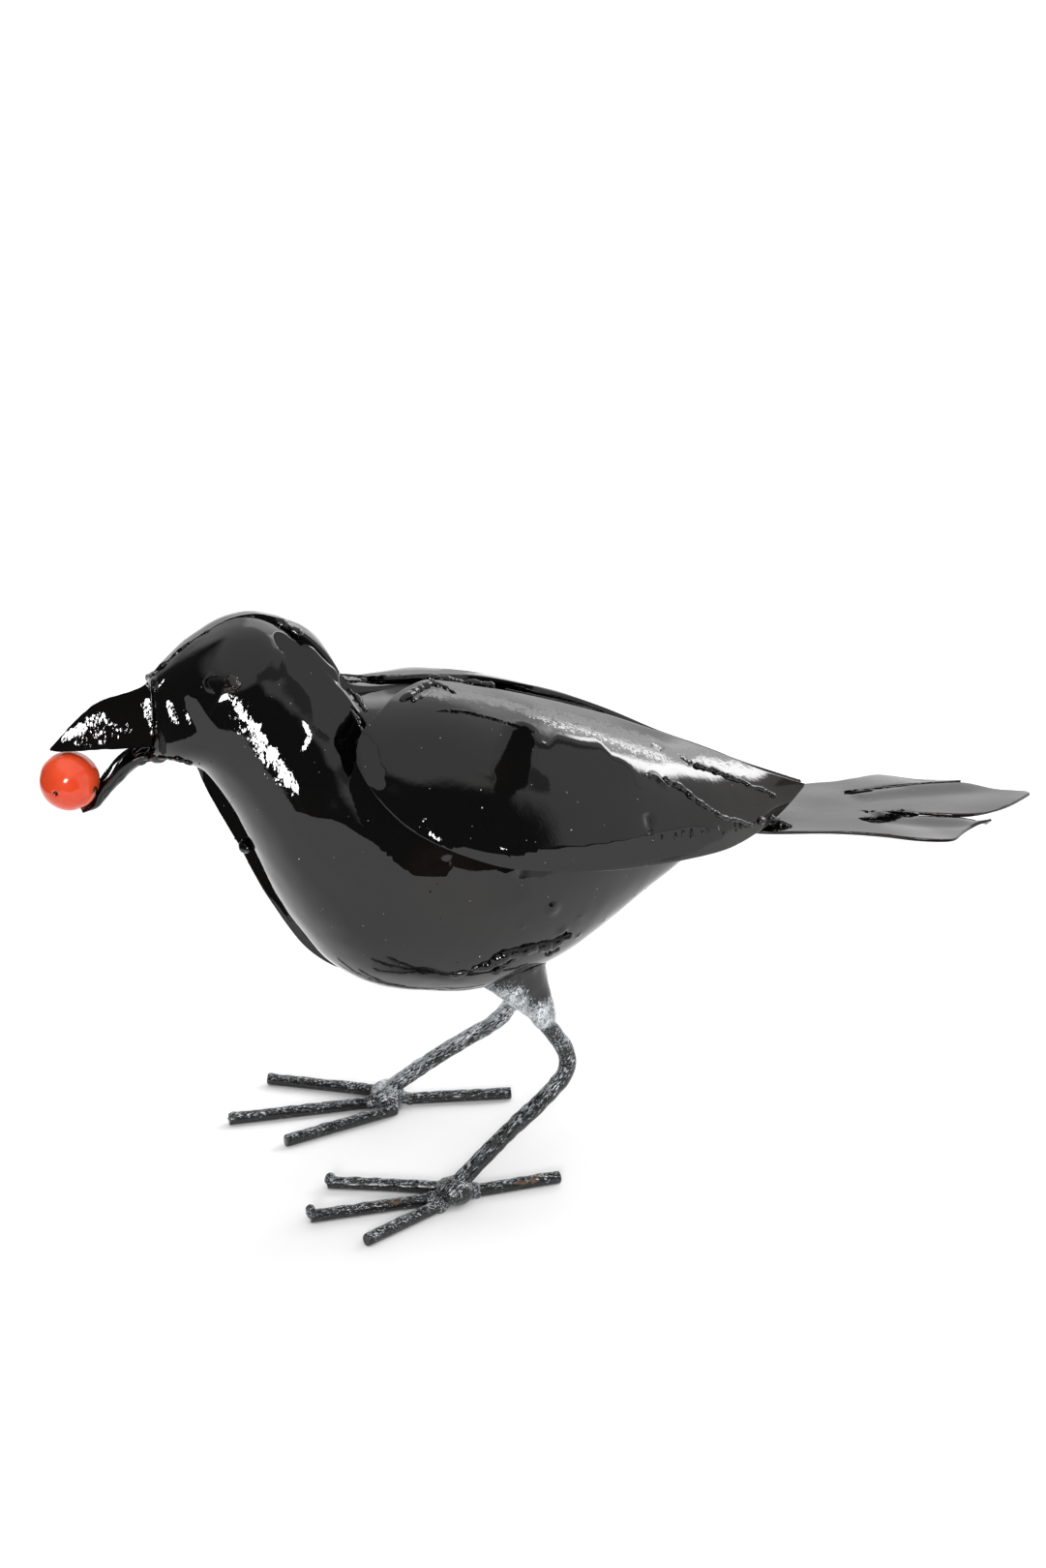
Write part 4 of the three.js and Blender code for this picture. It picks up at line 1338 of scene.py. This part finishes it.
# Lumps at the tips of toes: start and end from the tip, and radius.
TOE_ENDS = {
    (LEFT, "middle"): ((-0.4, 0, 0.8), (0.2, 0, 2.8), 1.3),
    (LEFT, "inner"): ((-0.6, 0, 0.6), (-0.6, 0, 1.4), 1.5),
    (RIGHT, "middle"): ((-0.6, 0, 0.4), (-1.4, 0, 0.8), 1.6),
    (RIGHT, "inner"): ((-0.6, 0, 0.3), (-1.6, 0, 0.4), 1.5),
}


def seam(start, end, count, above):
    """Places along the middle of the body's top or underside."""
    tree = surface_tree("body_left_shell")
    way = Vector((0, 0, -1 if above else 1))
    places = []
    for x in np.linspace(start, end, count):
        origin = Vector(metres((x, SEAM_BESIDE, SEAM_ABOVE if above else SEAM_BELOW)))
        places.append(millimetres(tree.ray_cast(origin, way)[0]) * MIDDLE_PLANE)
    return np.array(places)


def body_seams():
    rng = np.random.default_rng(3)
    crown, belly = seam(*CROWN_SEAM, above=True), seam(*BELLY_SEAM, above=False)
    crown_radii = rng.uniform(*CROWN_RADII, len(crown))
    belly_radii = rng.uniform(*BELLY_RADII, len(belly))
    molten("crown_seam_weld", [(crown, crown_radii)], seed=5, unevenness=0.35, voxel=0.25)
    molten("belly_seam_weld", [(belly, belly_radii)], seed=6, unevenness=0.4)


def back_welds():
    """The welds along the wings' roots and between them, and the patch on the crown."""
    back = seen(("wing_left", "wing_right"), *BACK_SEAM) * MIDDLE_PLANE
    for side, radius in WING_ROOT_RADII.items():
        root = pick_side(WING_ROOT, side)
        molten(f"{side}_wing_root_weld", [(root, radius)], seed=10)
    fill = seen(("body_right_shell", "wing_right"), *BACK_FILL)
    molten("back_fill", [(fill, FILL_RADIUS)], seed=14, unevenness=0.08)
    patch = seen(("body_left_shell", "body_right_shell"), *CROWN_PATCH) * MIDDLE_PLANE
    molten("crown_patch", [(patch, PATCH_RADIUS)], seed=13, unevenness=0.2)
    molten("back_seam_weld", [(back, BACK_RADII)], seed=7, unevenness=0.4)


def breast_tacks():
    tacks = seen(("body_left_shell", "body_right_shell"), *BREAST_TACKS) * MIDDLE_PLANE
    strokes = [([place + TACK_FROM, place + TACK_TO], TACK_RADIUS) for place in tacks]
    molten("breast_tacks", strokes, seed=8, unevenness=0.4)


def split_lips():
    """Thin torn edges that stand in the cuts between the tail's feathers."""
    rng = np.random.default_rng(9)
    corners, faces = [], []
    for path, low, high in SPLITS:
        first = len(corners)
        for place in curve_through([(x, y, 0) for x, y in path], LIP_POINTS):
            top = high + rng.uniform(*TORN_BY)
            for offset, z in ((0, low), (0, top), (1, top), (1, low)):
                corners.append(place + (0, offset * SPLIT_THICKNESS, z))
        rings = [range(first + 4 * i, first + 4 * i + 4) for i in range(LIP_POINTS)]
        faces += [rings[0], reversed(rings[-1])]
        for a, b in zip(rings[:-1], rings[1:]):
            faces += [(a[k], b[k], b[k - 3], a[k - 3]) for k in range(4)]
    mesh = bpy.data.meshes.new("tail_split_lips")
    mesh.from_pydata([tuple(c) for c in metres(corners)], [], [tuple(f) for f in faces])
    work = bmesh.new()
    work.from_mesh(mesh)
    bmesh.ops.recalc_face_normals(work, faces=work.faces)
    work.to_mesh(mesh)
    work.free()
    add_piece("tail_split_lips", mesh, "weld")


def jaw_weld():
    """Joins the lower beak's root to the head."""
    root = node_points("beak_lower")
    root = root[root[:, 0] < root[:, 0].min() + JAW_REACH].mean(axis=0)
    head = node_points("body_left_shell")
    head = head[head[:, 0] > head[:, 0].max() - CHIN_REACH]
    chin = head[head[:, 2] < head[:, 2].min() + CHIN_REACH].mean(axis=0) * MIDDLE_PLANE
    strokes = [((root + (2, 3 * sign, -0.5), chin + (-1.5, 4 * sign, 0.5)), (1.6, 2.2))
               for sign in (-1, 0, 1)]
    molten("jaw_weld", strokes, seed=12, unevenness=0.4)


def seen_welds():
    everything = tuple(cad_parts)
    for name, both, strokes in WELDS:
        for side in SIDES if both else (LEFT,):
            runs = [(pick_side(seen(everything, *pixels), side), radii)
                    for pixels, radii in strokes]
            molten(f"{side}_{name}", runs, SEED[side] + len(runs), unevenness=0.35)


def wing_drips(side):
    """Drops that ran down and set along the wing's lower edge."""
    rng = np.random.default_rng(SEED[side])
    strokes = []
    for share in np.linspace(0, 1, DRIP_COUNT):
        x, y = [start + (end - start) * share + rng.uniform(*DRIP_STRAYS)
                for start, end in zip(DRIPS_FROM, DRIPS_TO)]
        run = seen("wing_left", (x, y), (x + 1, y + rng.uniform(*DRIP_RUNS)))
        strokes.append((pick_side(run, side), (DRIP_ROOT, rng.uniform(*DRIP_DROP))))
    molten(f"{side}_wing_drips", strokes, SEED[side] + 30, 0.15, voxel=0.2, spacing=0.4)


def foot_welds(side):
    """The lump at the ankle, run over the roots of the toes, and the toes' ends."""
    leg = node_points(f"leg_{side}")
    ankle = leg[leg[:, 2] < ANKLE_BELOW].mean(axis=0)
    strokes = []
    for toe in TOES:
        points = node_points(f"toe_{side}_{toe}")
        gaps = np.linalg.norm(points - ankle, axis=1)
        root = points[gaps < gaps.min() + TOE_ROOT_REACH].mean(axis=0)
        strokes.append(([ankle + (0, 0, 0.5), root], TOE_WELD_RADII))
        if (side, toe) in TOE_ENDS:
            tip = points[gaps > gaps.max() - TOE_TIP_REACH].mean(axis=0)
            start, end, radius = TOE_ENDS[side, toe]
            strokes.append(([tip + start, tip + end], radius))
    molten(f"{side}_foot_welds", strokes, SEED[side] + 40, silver=0.45)


# Operators

class BIRD_OT_stage(bpy.types.Operator):
    """Adds the floor, the room's light and the camera"""

    bl_idname = "bird.stage"
    bl_label = "Studio"

    def execute(self, context):
        look = context.scene.bird_look
        floor(look)
        room(look)
        camera()
        return {"FINISHED"}


class BIRD_OT_body(bpy.types.Operator):
    """Makes the two hammered shells of the head and body"""

    bl_idname = "bird.body"
    bl_label = "Body shells"

    def execute(self, context):
        for side in SIDES:
            body_shell(side, context.scene.bird_look)
        return {"FINISHED"}


class BIRD_OT_wings(bpy.types.Operator):
    """Makes the wings and the welds that draw their feathers"""

    bl_idname = "bird.wings"
    bl_label = "Wings"

    def execute(self, context):
        for side in SIDES:
            wing(side, context.scene.bird_look)
        return {"FINISHED"}


class BIRD_OT_tail(bpy.types.Operator):
    """Makes the flat tail with its three feathers"""

    bl_idname = "bird.tail"
    bl_label = "Tail"

    def execute(self, context):
        tail()
        return {"FINISHED"}


class BIRD_OT_head(bpy.types.Operator):
    """Makes the beak, the ball that it holds and the eyes"""

    bl_idname = "bird.head"
    bl_label = "Beak, ball and eyes"

    def execute(self, context):
        beak()
        ball()
        eyes()
        return {"FINISHED"}


class BIRD_OT_feet(bpy.types.Operator):
    """Makes the thighs, legs and toes"""

    bl_idname = "bird.feet"
    bl_label = "Legs and feet"

    def execute(self, context):
        thighs()
        legs()
        toes()
        return {"FINISHED"}


class BIRD_OT_welds(bpy.types.Operator):
    """Runs weld metal along the seams, over the joints and on the feet"""

    bl_idname = "bird.welds"
    bl_label = "Welds"

    def execute(self, context):
        body_seams()
        back_welds()
        breast_tacks()
        split_lips()
        jaw_weld()
        seen_welds()
        for side in SIDES:
            wing_drips(side)
            foot_welds(side)
        return {"FINISHED"}


STEPS = (BIRD_OT_stage, BIRD_OT_body, BIRD_OT_wings, BIRD_OT_tail, BIRD_OT_head, BIRD_OT_feet,
         BIRD_OT_welds)


class BIRD_PT_panel(bpy.types.Panel):
    """The steps that build the bird, in order"""

    bl_label = "Welded steel bird"
    bl_idname = "BIRD_PT_panel"
    bl_space_type = "VIEW_3D"
    bl_region_type = "UI"
    bl_category = "Bird"

    def draw(self, context):
        for step in STEPS:
            self.layout.operator(step.bl_idname)
        for name in BirdLook.__annotations__:
            self.layout.prop(context.scene.bird_look, name)


CLASSES = (BirdLook, *STEPS, BIRD_PT_panel)


def register():
    for kind in CLASSES:
        bpy.utils.register_class(kind)
    bpy.types.Scene.bird_look = bpy.props.PointerProperty(type=BirdLook)


def unregister():
    del bpy.types.Scene.bird_look
    for kind in reversed(CLASSES):
        bpy.utils.unregister_class(kind)


def main():
    register()
    for step in STEPS:
        group, name = step.bl_idname.split(".")
        getattr(getattr(bpy.ops, group), name)()


if __name__ == "__main__":
    main()
